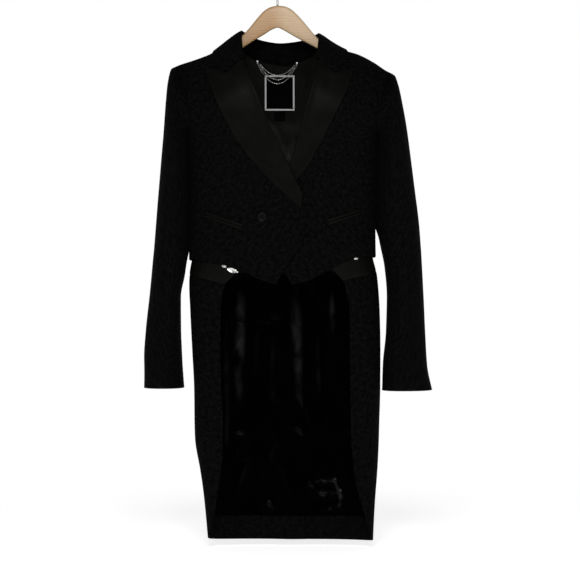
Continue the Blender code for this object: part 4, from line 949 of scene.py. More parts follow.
def cloth(name, shape, net, kind, thickness, height=0.0, node=None, seams=(), swell=None, extra=None, grid=GRID,
          hung=True):
    """A shell on a shape from a coarse net, whose third coordinate is a height where it has one. swell thickens it
    along an edge, and extra gives more height at its points."""
    coarse = laid_on(shape, net, 0.0)
    down, across = (stations(gaps, grid) for gaps in gaps_of(coarse))
    fine = finer(net, down, across)
    middle = laid_on(shape, fine, 0.0)
    distances = edge_distances(middle)
    top = np.broadcast_to(height, middle.shape[:2]) if not callable(height) else height(middle)
    if net.shape[-1] > 2:
        top = top + fine[..., 2]
    if extra:
        top = top + extra(middle)
    bottom = top - thickness
    if swell:
        bell = np.exp(-((distances[swell.edge] / swell.width) ** 2))
        top, bottom = top + swell.up * bell, bottom - swell.down * bell
    drawn = rounded(distances, top - bottom, seams)
    dip = seam_dip(distances, seams)
    outer, inner = laid_on(shape, fine, top - drawn - dip), laid_on(shape, fine, bottom + drawn - dip)
    points, faces, uv = shell(outer, inner)
    made = piece(name, points, faces, uv, kind, node)
    if extra:
        depth = np.tile(np.abs(extra(middle)).ravel(), 2)
        made.data.attributes.new("crease", "FLOAT", "POINT").data.foreach_set("value", depth)
    if hung:
        laid_on(shape, fine, 0.0)
    return made


# Small forms: tubes, turned pieces, plates and runs of one small shape


def tube(path, radius, sides=12, closed=False):
    """(points, faces, map): circles of a radius round a path, each square to it, turned as little as they can be."""
    path = np.asarray(path, float)
    ahead = np.roll(path, -1, axis=0) - np.roll(path, 1, axis=0) if closed else np.gradient(path, axis=0)
    ahead /= np.linalg.norm(ahead, axis=-1, keepdims=True)
    spread = np.linalg.norm(np.cross(ahead[:, None], np.eye(3)[None]), axis=-1).min(axis=0)
    aside = np.cross(ahead, np.eye(3)[spread.argmax()])
    aside /= np.linalg.norm(aside, axis=-1, keepdims=True)
    lift = np.cross(ahead, aside)
    turn = np.linspace(0, 2 * math.pi, sides, endpoint=False)
    radius = np.broadcast_to(radius, len(path))[:, None, None]
    ring = aside[:, None] * np.cos(turn)[:, None] + lift[:, None] * np.sin(turn)[:, None]
    points = path[:, None] + ring * radius
    faces = grid_faces(len(path), sides, True)[:, ::-1]
    if closed:
        last = (len(path) - 1) * sides
        j = np.arange(sides)
        join = np.stack([last + j, j, (j + 1) % sides, last + (j + 1) % sides], axis=-1)[:, ::-1]
        faces = np.concatenate([faces, join])
    return points.reshape(-1, 3), faces, points.reshape(-1, 3)[:, :2] * MM


def lathe(rows, sides=32):
    """(points, faces, map) of rows of (radius, height) turned round Z and closed at both ends."""
    rows = np.asarray(rows, float)
    turn = np.linspace(0, 2 * math.pi, sides, endpoint=False)
    ring = np.stack([np.cos(turn), np.sin(turn)], axis=-1)
    heights = np.broadcast_to(rows[:, None, 1:], (len(rows), sides, 1))
    points = np.concatenate([rows[:, None, :1] * ring, heights], -1)
    points = points.reshape(-1, 3)
    return points, grid_faces(len(rows), sides, True)[:, ::-1], points[:, :2] * MM


def many(template, faces, places, axes):
    """Copies of a small closed form, one at each place, whose own X, Y and Z lie along the place's three axes."""
    template, places, axes = np.asarray(template, float), np.asarray(places, float), np.asarray(axes, float)
    points = places[:, None] + np.einsum("vk,nkd->nvd", template, axes)
    shifted = faces[None] + (np.arange(len(places)) * len(template))[:, None, None]
    points = points.reshape(-1, 3)
    return points, shifted.reshape(-1, faces.shape[1]), points[:, [0, 2]] * MM


def together(*forms):
    """Several forms of one finish as one."""
    counts = np.cumsum([0] + [len(form[0]) for form in forms])
    return (np.concatenate([form[0] for form in forms]),
            np.concatenate([form[1] + start for form, start in zip(forms, counts)]),
            np.concatenate([form[2] for form in forms]))


def bead(sides=8, rings=5):
    """A ball of radius 1 as rings between two narrow ends."""
    angles = np.linspace(-math.pi / 2 + 0.15, math.pi / 2 - 0.15, rings)
    points, faces, _ = lathe(np.stack([np.cos(angles), np.sin(angles)], axis=-1), sides)
    return points, faces


def link_form(length, width, wire, around=14, sides=6):
    """A closed chain link: a circle of wire carried round an ellipse in its own XY plane."""
    turn = np.linspace(0, 2 * math.pi, around, endpoint=False)
    path = np.stack([np.cos(turn) * (length / 2 - wire), np.sin(turn) * (width / 2 - wire), 0 * turn], axis=-1)
    points, faces, _ = tube(path, wire, sides, closed=True)
    return points, faces


def frames_along(path, up):
    """For each point of a path: the way ahead, the way across and the way up, at right angles."""
    ahead = np.gradient(path, axis=0)
    ahead /= np.linalg.norm(ahead, axis=-1, keepdims=True)
    across = np.cross(up, ahead)
    across /= np.linalg.norm(across, axis=-1, keepdims=True)
    return np.stack([ahead, across, np.cross(ahead, across)], axis=1)


def evenly(path, pitch):
    """Points a pitch apart along a path."""
    reach = np.concatenate([[0], np.cumsum(np.linalg.norm(np.diff(path, axis=0), axis=-1))])
    at = np.arange(pitch / 2, reach[-1], pitch)
    return np.stack([np.interp(at, reach, path[:, k]) for k in range(3)], axis=-1)


def stitches(path, up, length, gap, thick):
    """A run of sewing stitches: a long flat bead for each, along a path that lies on the cloth."""
    at = evenly(path, length + gap)
    ups = np.broadcast_to(up, path.shape)
    nearest = np.linalg.norm(at[:, None] - path[None], axis=-1).argmin(axis=1)
    points, faces = bead(6, 5)
    return many(points[:, [2, 0, 1]] * (length / 2, thick, thick * 0.7), faces, at, frames_along(at, ups[nearest]))


# Finishes. A cloth's pattern follows its map, which is in metres, so a scale is a number of repeats to a metre.


def blank(name):
    """(material, its nodes' tree, its shader)."""
    made = bpy.data.materials.new(name)
    made.use_nodes = True
    return made, made.node_tree, made.node_tree.nodes["Principled BSDF"]


def node(tree, kind, inputs=(), **settings):
    """A node with its settings made and its inputs set or linked."""
    made = tree.nodes.new(kind)
    for key, value in settings.items():
        setattr(made, key, value)
    for key, value in dict(inputs).items():
        if isinstance(value, bpy.types.NodeSocket):
            tree.links.new(value, made.inputs[key])
        else:
            made.inputs[key].default_value = value
    return made


def pattern_space(tree, source="UV", scale=(1, 1, 1), turn=0.0):
    """The piece's map, or its own coordinates, scaled and turned."""
    at = node(tree, "ShaderNodeTexCoord").outputs[source]
    return node(tree, "ShaderNodeMapping", {"Vector": at, "Scale": scale, "Rotation": (0, 0, turn)}).outputs[0]


def mixed(tree, share, first, second):
    """Two colours mixed by a share that varies."""
    mix = node(tree, "ShaderNodeMix", data_type="RGBA")
    tree.links.new(share, mix.inputs[0])
    mix.inputs[6].default_value = (*first, 1)
    mix.inputs[7].default_value = (*second, 1)
    return mix.outputs[2]


def ramp(tree, value, low, high):
    """A value spread from 0 at low to 1 at high."""
    return node(tree, "ShaderNodeMapRange", {"Value": value, "From Min": low, "From Max": high}).outputs[0]


def bumped(tree, height, strength, depth, before=None):
    """A bump from a height, over another where there is one."""
    made = node(tree, "ShaderNodeBump", {"Height": height, "Strength": strength, "Distance": depth * MM})
    if before is not None:
        tree.links.new(before, made.inputs["Normal"])
    return made.outputs[0]


def shade(tree, shader, **values):
    """Values and links of a shader's sockets, their names written with underscores."""
    for key, value in values.items():
        socket = shader.inputs[key.replace("_", " ")]
        if isinstance(value, bpy.types.NodeSocket):
            tree.links.new(value, socket)
        else:
            socket.default_value = value


def scaled(colour, share):
    return tuple(c * share for c in colour)


def wool(name, colour):
    """A crepe wool: crossed twill ribs under a fine grain and a soft nap, a little uneven over a hand's width."""
    made, tree, shader = blank(name)
    rib = node(tree, "ShaderNodeTexWave", {"Vector": pattern_space(tree, scale=(1, 1, 1), turn=math.radians(52)),
                                           "Scale": 170.0, "Distortion": 1.5, "Detail": 2.0, "Detail Scale": 2.0})
    grain = node(tree, "ShaderNodeTexNoise", {"Vector": pattern_space(tree), "Scale": 620.0, "Detail": 4.0,
                                              "Roughness": 0.65})
    crepe = node(tree, "ShaderNodeTexVoronoi", {"Vector": pattern_space(tree), "Scale": 520.0})
    mottle = node(tree, "ShaderNodeTexNoise", {"Vector": pattern_space(tree), "Scale": 130.0, "Detail": 5.0})
    speck = ramp(tree, grain.outputs[0], 0.40, 0.62)
    first = mixed(tree, speck, scaled(colour, 0.15), scaled(colour, 1.9))
    worn = node(tree, "ShaderNodeMix", data_type="RGBA", blend_type="MULTIPLY")
    tree.links.new(first, worn.inputs[6])
    tree.links.new(mixed(tree, ramp(tree, mottle.outputs[0], 0.38, 0.62), (0.5, 0.5, 0.5), (1.5, 1.5, 1.5)),
                   worn.inputs[7])
    worn.inputs[0].default_value = 1.0
    bump = bumped(tree, rib.outputs[0], 0.35, 0.25)
    bump = bumped(tree, crepe.outputs[0], 0.5, 0.35, bump)
    bump = bumped(tree, grain.outputs[0], 0.5, 0.3, bump)
    shade(tree, shader, Base_Color=worn.outputs[2], Roughness=0.92, Specular_IOR_Level=0.026, Sheen_Weight=0.0035,
          Sheen_Roughness=0.45, Normal=bump)
    return made


def satin(name, colour, gloss, shine=0.03, ripple=0.0, creased_shine=0.0):
    """Satin: long floats along the warp, a streaky gloss across them, and slow ripples where it hangs loose. Its
    creases may shine more than the rest, unevenly."""
    made, tree, shader = blank(name)
    floats = node(tree, "ShaderNodeTexNoise", {"Vector": pattern_space(tree, scale=(1, 0.08, 1)),
                                               "Scale": 2600.0, "Detail": 2.0})
    slubs = node(tree, "ShaderNodeTexNoise", {"Vector": pattern_space(tree, scale=(1, 0.12, 1)),
                                              "Scale": 130.0, "Detail": 3.0})
    cloud = node(tree, "ShaderNodeTexNoise", {"Vector": pattern_space(tree), "Scale": 30.0, "Detail": 2.0})
    rough = node(tree, "ShaderNodeMapRange", {"Value": slubs.outputs[0], "From Min": 0.3, "From Max": 0.7,
                                              "To Min": gloss - 0.05, "To Max": gloss + 0.07})
    tone = mixed(tree, ramp(tree, cloud.outputs[0], 0.35, 0.65), scaled(colour, 0.8), scaled(colour, 1.25))
    bump = bumped(tree, floats.outputs[0], 0.35, 0.06)
    if ripple:
        wide = node(tree, "ShaderNodeTexNoise", {"Vector": pattern_space(tree, scale=(1, 0.4, 1)), "Scale": 21.0,
                                                 "Detail": 1.5, "Distortion": 0.8})
        bump = bumped(tree, wide.outputs[0], ripple, 12.0, bump)
    if creased_shine:
        crease = node(tree, "ShaderNodeAttribute", attribute_name="crease").outputs["Fac"]
        patch = node(tree, "ShaderNodeTexNoise", {"Vector": pattern_space(tree, scale=(1, 0.5, 1)), "Scale": 38.0,
                                                  "Detail": 2.0})
        deep, open_patch = ramp(tree, crease, 0.9, 3.2), ramp(tree, patch.outputs[0], 0.38, 0.6)
        lit = node(tree, "ShaderNodeMath", {0: deep, 1: open_patch}, operation="MULTIPLY")
        shine = node(tree, "ShaderNodeMapRange", {"Value": lit.outputs[0], "To Min": shine,
                                                  "To Max": creased_shine}).outputs[0]
    shade(tree, shader, Base_Color=tone, Roughness=rough.outputs[0], Specular_IOR_Level=shine, Anisotropic=0.45,
          Normal=bump)
    return made


def silver(name, colour):
    """Bright plated metal with a faintly uneven polish."""
    made, tree, shader = blank(name)
    wear = node(tree, "ShaderNodeTexNoise", {"Vector": pattern_space(tree, "Object"), "Scale": 900.0,
                                             "Detail": 3.0})
    rough = node(tree, "ShaderNodeMapRange", {"Value": wear.outputs[0], "From Min": 0.3, "From Max": 0.7,
                                              "To Min": 0.16, "To Max": 0.34})
    shade(tree, shader, Metallic=1.0, Roughness=rough.outputs[0],
          Base_Color=mixed(tree, wear.outputs[0], scaled(colour, 0.85), colour),
          Normal=bumped(tree, wear.outputs[0], 0.15, 0.05))
    return made


def beech(name, pale, dark):
    """Varnished beech: long grain bent by noise, short dark flecks, and one arm paler than the other."""
    made, tree, shader = blank(name)
    grain = node(tree, "ShaderNodeTexWave", {"Vector": pattern_space(tree, "Object", (0.25, 1, 1)), "Scale": 75.0,
                                             "Distortion": 5.0, "Detail": 3.0, "Detail Scale": 1.6},
                 bands_direction="Z")
    fleck = node(tree, "ShaderNodeTexNoise", {"Vector": pattern_space(tree, "Object", (0.09, 1, 1)),
                                              "Scale": 900.0, "Detail": 3.0})
    side = node(tree, "ShaderNodeSeparateXYZ", {"Vector": pattern_space(tree, "Object")})
    arm = ramp(tree, side.outputs[0], -0.014, 0.016)
    wood = node(tree, "ShaderNodeMix", data_type="RGBA")
    tree.links.new(arm, wood.inputs[0])
    tree.links.new(mixed(tree, grain.outputs[0], scaled(dark, 0.92), scaled(dark, 1.10)), wood.inputs[6])
    tree.links.new(mixed(tree, grain.outputs[0], scaled(pale, 0.92), scaled(pale, 1.07)), wood.inputs[7])
    flecked = node(tree, "ShaderNodeMix", data_type="RGBA", blend_type="MULTIPLY")
    tree.links.new(ramp(tree, fleck.outputs[0], 0.62, 0.72), flecked.inputs[0])
    tree.links.new(wood.outputs[2], flecked.inputs[6])
    flecked.inputs[7].default_value = (0.78, 0.66, 0.52, 1)
    shade(tree, shader, Base_Color=flecked.outputs[2], Roughness=ramp_rough(tree, fleck.outputs[0]),
          Specular_IOR_Level=0.4, Coat_Weight=0.2, Coat_Roughness=0.3,
          Normal=bumped(tree, grain.outputs[0], 0.15, 0.1))
    return made


def ramp_rough(tree, value):
    """A varnish that is duller where the grain is open."""
    return node(tree, "ShaderNodeMapRange", {"Value": value, "To Min": 0.38, "To Max": 0.55}).outputs[0]


def horn(name, colour):
    """Polished black horn with cloudy streaks."""
    made, tree, shader = blank(name)
    streak = node(tree, "ShaderNodeTexNoise", {"Vector": pattern_space(tree, "Object", (1, 1, 4)), "Scale": 220.0,
                                               "Detail": 4.0, "Distortion": 1.0})
    shade(tree, shader, Base_Color=mixed(tree, streak.outputs[0], scaled(colour, 0.6), scaled(colour, 1.8)),
          Roughness=node(tree, "ShaderNodeMapRange", {"Value": streak.outputs[0], "To Min": 0.2,
                                                      "To Max": 0.36}).outputs[0],
          Specular_IOR_Level=0.07, Normal=bumped(tree, streak.outputs[0], 0.1, 0.1))
    return made


def thread(name, colour):
    """Twisted sewing thread."""
    made, tree, shader = blank(name)
    twist = node(tree, "ShaderNodeTexNoise", {"Vector": pattern_space(tree, "Object"), "Scale": 2500.0,
                                              "Detail": 2.0})
    shade(tree, shader, Base_Color=mixed(tree, twist.outputs[0], scaled(colour, 0.7), scaled(colour, 1.2)),
          Roughness=0.6, Specular_IOR_Level=0.05, Normal=bumped(tree, twist.outputs[0], 0.4, 0.1))
    return made


def studio_white(name, colour, radius):
    """A pale floor that turns into the backdrop's own light beyond a radius, so that no horizon shows."""
    made, tree, shader = blank(name)
    place = pattern_space(tree, "Object")
    far = node(tree, "ShaderNodeVectorMath", {0: place}, operation="LENGTH").outputs["Value"]
    fade = node(tree, "ShaderNodeMapRange", {"Value": far, "From Min": radius * 0.45, "From Max": radius},
                interpolation_type="SMOOTHSTEP")
    glow = node(tree, "ShaderNodeEmission", {"Color": (1, 1, 1, 1), "Strength": 1.0})
    both = node(tree, "ShaderNodeMixShader", {0: fade.outputs[0], 1: shader.outputs[0], 2: glow.outputs[0]})
    tree.links.new(both.outputs[0], tree.nodes["Material Output"].inputs[0])
    shade(tree, shader, Base_Color=(*colour, 1), Roughness=0.9, Specular_IOR_Level=0.1,
          Emission_Color=(1, 1, 1, 1), Emission_Strength=0.72)
    return made


# Sizes and colours to change in the panel


def colour_property(name, description, default):
    return FloatVectorProperty(name=name, description=description, subtype="COLOR", size=3, min=0, max=1,
                               default=default)


def length_property(name, description, default, low, high):
    return FloatProperty(name=name, description=description, subtype="DISTANCE", unit="LENGTH", default=default,
                         min=low, max=high)


class TailcoatCloth(bpy.types.PropertyGroup):
    wool: colour_property("Wool", "Colour of the crepe wool", (0.0021, 0.0023, 0.0021))
    satin: colour_property("Satin", "Colour of the lapels, pipings and waistband", (0.0030, 0.0033, 0.0025))
    lining: colour_property("Tail lining", "Colour of the satin inside the tails", (0.0002, 0.0002, 0.00015))
    neck: colour_property("Neck lining", "Colour of the lining inside the back", (0.0062, 0.0065, 0.0055))
    label: colour_property("Label border", "Colour of the border woven into the label", (0.72, 0.72, 0.70))
    creases: FloatProperty(name="Creases", description="Depth of the wool's creases, as a share of the usual",
                           subtype="FACTOR", default=1.0, min=0.0, max=1.5)
    lining_creases: FloatProperty(name="Lining creases", description="Depth of the lining's creases, as a share",
                                  subtype="FACTOR", default=1.0, min=0.0, max=1.3)
    lapel_roll: length_property("Lapel roll", "How far the lapel's fold swells", 0.0016, 0.0, 0.003)


class TailcoatTrim(bpy.types.PropertyGroup):
    metal: colour_property("Metal", "Colour of the chain, zip and hook", (0.74, 0.74, 0.72))
    horn: colour_property("Button", "Colour of the button", (0.0016, 0.0016, 0.0016))
    pale_wood: colour_property("Pale arm", "Wood of the hanger's paler arm", (0.54, 0.38, 0.23))
    dark_wood: colour_property("Dark arm", "Wood of the hanger's darker arm", (0.42, 0.25, 0.115))
    tooth_pitch: length_property("Tooth pitch", "Distance between the zip's teeth", 0.0024, 0.0015, 0.005)
    link_length: length_property("Link length", "Length of one link of the chain", 0.0029, 0.002, 0.008)


class TailcoatStage(bpy.types.PropertyGroup):
    distance: length_property("Camera distance", "From the camera to the middle of the coat", 3.6, 1.0, 10.0)
    lens: FloatProperty(name="Lens", description="Focal length in millimetres", default=119.5, min=35, max=300)
    aim_x: length_property("Aim across", "Where the camera aims, across", 0.0234, -1.0, 1.0)
    aim_z: length_property("Aim height", "Where the camera aims, from the hook down", -0.590, -2.0, 0.5)
    key: FloatProperty(name="Key light", description="Power of the lamp above the camera, in watts", default=50.0,
                       min=0, max=1000)
    fill: FloatProperty(name="Fill light", description="Power of each of the large lamps beside it, in watts",
                        default=8.0, min=0, max=1000)
    air: FloatProperty(name="Room light", description="Strength of the pale room around the coat", default=0.12,
                       min=0, max=2)
    floor: colour_property("Floor", "Colour of the floor", (0.9, 0.9, 0.9))
    floor_drop: length_property("Floor drop", "From the lowest hem down to the floor", 0.012, 0.0, 1.0)
    floor_radius: length_property("Floor radius", "How far the floor's own shade reaches", 1.25, 0.5, 20.0)


def sizes():
    return bpy.context.scene.tailcoat_cloth, bpy.context.scene.tailcoat_trim, bpy.context.scene.tailcoat_stage


# The finish of each kind of piece, and the record's slot for it

Finish = namedtuple("Finish", "slot make")
FINISHES = {
    "wool": Finish("black_wool", lambda: wool("crepe_wool", sizes()[0].wool)),
    "satin": Finish("black_satin", lambda: satin("tuxedo_satin", sizes()[0].satin, 0.40)),
    "band": Finish("black_satin", lambda: satin("band_satin", sizes()[0].satin, 0.40, 0.044, 0.3)),
    "tape": Finish("black_satin", lambda: thread("zip_ribbon", sizes()[0].satin)),
    "lining": Finish("black_lining", lambda: satin("lining_satin", sizes()[0].lining, 0.30, 0.008, 0.5, 0.20)),
    "neck": Finish("black_lining", lambda: satin("neck_satin", sizes()[0].neck, 0.32, 0.03, 0.4)),
    "label": Finish("black_lining", lambda: satin("label_weave", sizes()[0].lining, 0.5)),
    "white": Finish("black_lining", lambda: thread("white_weave", sizes()[0].label)),
    "thread": Finish("black_satin", lambda: thread("black_silk", sizes()[0].satin)),
    "metal": Finish("silver", lambda: silver("silver_metal", sizes()[1].metal)),
    "horn": Finish("black_horn", lambda: horn("black_horn_polished", sizes()[1].horn)),
    "wood": Finish("beech", lambda: beech("beech_varnished", sizes()[1].pale_wood, sizes()[1].dark_wood)),
}
MADE_FINISHES = {}


def finish(kind):
    """The material of a kind of piece, made the first time it is asked for."""
    if kind not in MADE_FINISHES:
        MADE_FINISHES[kind] = FINISHES[kind].make()
    return MADE_FINISHES[kind]


# The operators, one for each group of pieces

DARTS = {
    -1: (Spot(-87.3, -288), Spot(-81.7, -380.6), Spot(-68.8, -447)),
    1: (Spot(104, -286), Spot(99.5, -378), Spot(88.5, -440)),
}
SIDE_LINES = {
    -1: (Spot(-136, -449.2), Spot(-161, -440.2)),
    1: (Spot(154, -445.2), Spot(178, -436.5)),
}
# Across a seam that is pressed open: the cloth rises to a lip on each side of the line of sewing
LIP = ((-2.6, -0.35), (-1.7, 0.12), (-0.8, 0.30), (-0.25, 0.12), (0.0, -0.15), (0.25, 0.12), (0.8, 0.30),
       (1.7, 0.12), (2.6, -0.35))


def pressed_seam(name, spots, kind="wool", base=0.0, steps=40, tapered=True):
    """A narrow strip of cloth on the jacket's front: the profile of a pressed seam, carried along a line."""
    line = course(spots, steps)
    ahead = np.gradient(line, axis=0)
    across = np.stack([-ahead[:, 1], ahead[:, 0]], axis=-1) / np.linalg.norm(ahead, axis=1, keepdims=True)
    aside, lift = np.array(LIP).T
    net = on_body(line[:, None] + across[:, None] * aside[:, None])
    t = np.linspace(0, 1, len(line))[:, None]
    fade = step_up(t, 0, 0.12) * (step_up(1 - t, 0, 0.12) if tapered else 1.0)
    height = base + lift * fade - 0.45 * (1 - fade)
    points, faces, uv = shell(laid_on(body_point, net, height), laid_on(body_point, net, base - 1.0))
    return piece(name, points, faces, uv, kind)


class TAILCOAT_OT_jacket_body(bpy.types.Operator):
    """Makes the fronts, the side panels and the backs, and presses the fronts' darts"""

    bl_idname = "tailcoat.jacket_body"
    bl_label = "Jacket body"

    def execute(self, context):
        for side, who in SIDES:
            height = under_dip if side > 0 else 0.0
            cloth("cloth_front_" + who, body_point, front_net(side), "wool", WOOL, height, "front_" + who,
                  ("top", "right"))
            cloth("cloth_side_" + who, body_point, side_net(side), "wool", WOOL, 0.0, "side_" + who,
                  ("top", "left", "right"))
            cloth("cloth_back_" + who, body_point, back_net(side), "wool", WOOL, 0.0, "back_" + who,
                  ("top", "left", "right"))
            pressed_seam("dart_" + who, DARTS[side])
            pressed_seam("waist_seam_" + who, SIDE_LINES[side], steps=10, tapered=False)
        return {"FINISHED"}


class TAILCOAT_OT_lapels(bpy.types.Operator):
    """Makes the satin lapels, which roll over at the line of the fold"""

    bl_idname = "tailcoat.lapels"
    bl_label = "Lapels"

    def execute(self, context):
        roll = context.scene.tailcoat_cloth.lapel_roll / MM
        for side, who in SIDES:
            top = LAPEL_GAP + FACED
            height = (lambda points: under_dip(points) + top) if side > 0 else top
            cloth("satin_lapel_" + who, body_point, lapel_net(side), "satin", FACED, height, "lapel_" + who,
                  ("top",), Swell("left", 7.0, roll, LAPEL_GAP), grid=FINE_GRID)
        return {"FINISHED"}


def collar_nets():
    """Coarse nets of the collar's two pieces: the outer and the inner face of the leaf and of the stand."""
    neck, edge, fold, out = collar_stations()
    up = np.array([0.0, 0.0, 1.0])
    near_end = np.zeros(len(neck))
    near_end[[0, -1]] = 1
    near_end[[1, -2]] = 0.4
    on_neck = laid_on(shoulder_point, neck, 0.0)
    rows = [fold - out * 2.4 - up * 1.4, fold, fold + out * 2.6 - up * 1.2]
    raised = laid_on(shoulder_point, neck, LAPEL_GAP + WOOL + 1.2)
    rows.append((rows[-1] + raised) / 2 + out)
    for share in LEAF_SHARES:
        line = neck * (1 - share) + edge * share
        points = shoulder_point(line[:, 0], line[:, 1])
        dip = NOTCH_DOWN * min(share / NOTCH_SHARE, (1 - share) / (1 - NOTCH_SHARE)) * near_end
        moved = signed(on_body(np.stack([points[:, 0], points[:, 2] - dip], axis=-1)))
        line = np.where(dip[:, None] > 0, moved, line)
        rows.append(laid_on(shoulder_point, line, LAPEL_GAP + WOOL + 1.2 * (1 - share) + (line[:, 1] < -0.3)))
    leaf = np.array(rows)
    top = fold - out * 0.6 - up * 4.8
    shares_up = np.linspace(0, 1, 4)[:, None, None]
    stand = on_neck * (1 - shares_up) + top * shares_up
    thickness = outward(stand) * WOOL
    thickness[0] = (laid_on(shoulder_point, neck, 1.0) - on_neck) * WOOL
    return (leaf, leaf - outward(leaf) * WOOL), (stand, stand - thickness)


def free_cloth(name, outer, inner, kind, node, grid=FINE_GRID, hung=True):
    """A shell from two coarse nets of points, read finely and rounded at its edges."""
    down, across = (stations(gaps, grid) for gaps in gaps_of(outer))
    outer, inner = finer(outer, down, across), finer(inner, down, across)
    flat = (outer + inner) / 2
    thickness = np.linalg.norm(outer - inner, axis=-1)
    drawn = rounded(edge_distances(flat), thickness)
    share = (drawn / np.maximum(thickness, 1e-6))[..., None]
    points, faces, uv = shell(outer + (inner - outer) * share, inner + (outer - inner) * share)
    made = piece(name, points, faces, uv, kind, node)
    return made


class TAILCOAT_OT_collar(bpy.types.Operator):
    """Makes the wool collar: the leaf that lies on the shoulders and the stand inside it"""

    bl_idname = "tailcoat.collar"
    bl_label = "Collar"

    def execute(self, context):
        leaf, stand = collar_nets()
        free_cloth("cloth_collar_leaf", *leaf, "wool", "collar_leaf")
        free_cloth("cloth_collar_stand", *stand, "wool", "collar_stand")
        return {"FINISHED"}


# A piping's section: heights over its width, as shares, like a cord under satin
PIPING = ((0.0, 0.05), (0.08, 0.55), (0.25, 0.92), (0.5, 1.0), (0.75, 0.92), (0.92, 0.55), (1.0, 0.05))


class TAILCOAT_OT_pockets(bpy.types.Operator):
    """Makes the two satin pipings of each pocket, with a small bar of stitches at each end"""

    bl_idname = "tailcoat.pockets"
    bl_label = "Pockets"

    def execute(self, context):
        for side, who in SIDES:
            start, end = (np.array(spot) for spot in POCKETS[side])
            slope = (end - start) / np.linalg.norm(end - start)
            across = np.array([-slope[1], slope[0]]) * np.sign(slope[0])
            steps = np.linspace(0, 1, 41)[:, None]
            for place, low in (("upper", SEAM_GAP / 2), ("lower", -JET_HEIGHT - SEAM_GAP / 2)):
                share, rise = np.array(PIPING).T
                line = (start + (end - start) * steps)[:, None]
                net = on_body(line + across * (low + JET_HEIGHT * share)[:, None])
                tuck = step_up(steps, 0, 0.03) * step_up(1 - steps, 0, 0.03)
                outer = laid_on(body_point, net, rise * (LAYER_GAP + SATIN + 0.5) * (0.35 + 0.65 * tuck))
                points, faces, uv = shell(outer, laid_on(body_point, net, -0.2))
                piece("piping_%s_%s" % (who, place), points, faces, uv, "satin",
                      "pocket_jet_%s_%s" % (who, place))
            bars = []
            for spot in (start + slope * 1.0, end - slope * 1.0):
                line = spot + across * np.linspace(-4.2, 4.2, 9)[:, None]
                net = on_body(line)
                path, above = laid_on(body_point, net, 1.9), laid_on(body_point, net, 2.9)
                bars.append(stitches(path, above - path, 1.5, 0.1, 0.35))
            piece("pocket_bars_" + who, *together(*bars), "thread")
        return {"FINISHED"}


def frame_at(shape, coordinates, height):
    """A point at a height above a shape, with its normal."""
    at = np.array(coordinates, float)[None]
    low, high = laid_on(shape, at, height)[0], laid_on(shape, at, height + 1)[0]
    return low, high - low


def square_frame(normal):
    """Two ways across a normal: level, and up along the surface."""
    level = np.cross((0.0, 0.0, 1.0), normal)
    level /= np.linalg.norm(level)
    return level, np.cross(normal, level)


HOLES = ((1.5, 1.5), (-1.5, 1.5), (-1.5, -1.5), (1.5, -1.5))
BUTTON_ROWS = (ButtonRow(0.4, -0.1), ButtonRow(4.0, -0.05), ButtonRow(6.6, 0.35), ButtonRow(8.3, 1.2),
               ButtonRow(8.8, 2.0),
               ButtonRow(8.6, 2.7), ButtonRow(8.0, 3.1), ButtonRow(7.2, 3.15), ButtonRow(6.4, 2.85),
               ButtonRow(5.6, 2.5), ButtonRow(4.6, 2.4), ButtonRow(3.8, 2.4), ButtonRow(3.2, 2.4),
               ButtonRow(2.7, 2.4), ButtonRow(2.2, 2.4), ButtonRow(1.8, 2.4), ButtonRow(1.4, 2.4), ButtonRow(1.0, 2.4),
               ButtonRow(0.6, 2.4), ButtonRow(0.2, 2.4))


class TAILCOAT_OT_button(bpy.types.Operator):
    """Makes the button with its rim and four sewn holes, and the worked buttonhole behind it"""

    bl_idname = "tailcoat.button"
    bl_label = "Button"

    def execute(self, context):
        at, normal = frame_at(body_point, on_body(np.array(BUTTON_AT)), LAYER_GAP)
        level, up = square_frame(normal)
        rows = np.array(BUTTON_ROWS)
        inside = np.clip(np.interp(np.arange(0, len(rows) - 0.9, 0.5), np.arange(len(rows)), rows[:, 0]), 0.2, None)
        high = np.interp(np.arange(0, len(rows) - 0.9, 0.5), np.arange(len(rows)), rows[:, 1])
        points, faces, uv = lathe(np.stack([inside, high], axis=-1), 72)
        for hole in HOLES:
            away = np.linalg.norm(points[:, :2] - hole, axis=1)
            points[:, 2] -= np.where(points[:, 2] > 1.5, 1.1 * np.exp(-((away / 0.85) ** 4)), 0)
        axes = np.stack([level, up, normal])
        piece("horn_button", points @ axes + at, faces, uv, "horn", "button")
        runs = []
        for x in (-1.5, 1.5):
            for lean in (-0.25, 0.25):
                path = np.array([(x + lean, y, 2.55 + 0.55 * math.cos(y / 1.6))
                                 for y in np.linspace(-1.7, 1.7, 9)])
                runs.append(tube(path @ axes + at, 0.28, 6))
        piece("button_thread", *together(*runs), "thread")
        turn = np.linspace(0, 2 * math.pi, 80)
        oval = np.stack([BUTTON_AT.x - 9.0 + 11.5 * np.cos(turn), BUTTON_AT.z + 1.25 * np.sin(turn)], axis=-1)
        net = on_body(oval)
        path, above = laid_on(body_point, net, 0.25), laid_on(body_point, net, 1.25)
        piece("buttonhole", *stitches(path, above - path, 0.55, 0.05, 0.5), "thread")
        return {"FINISHED"}


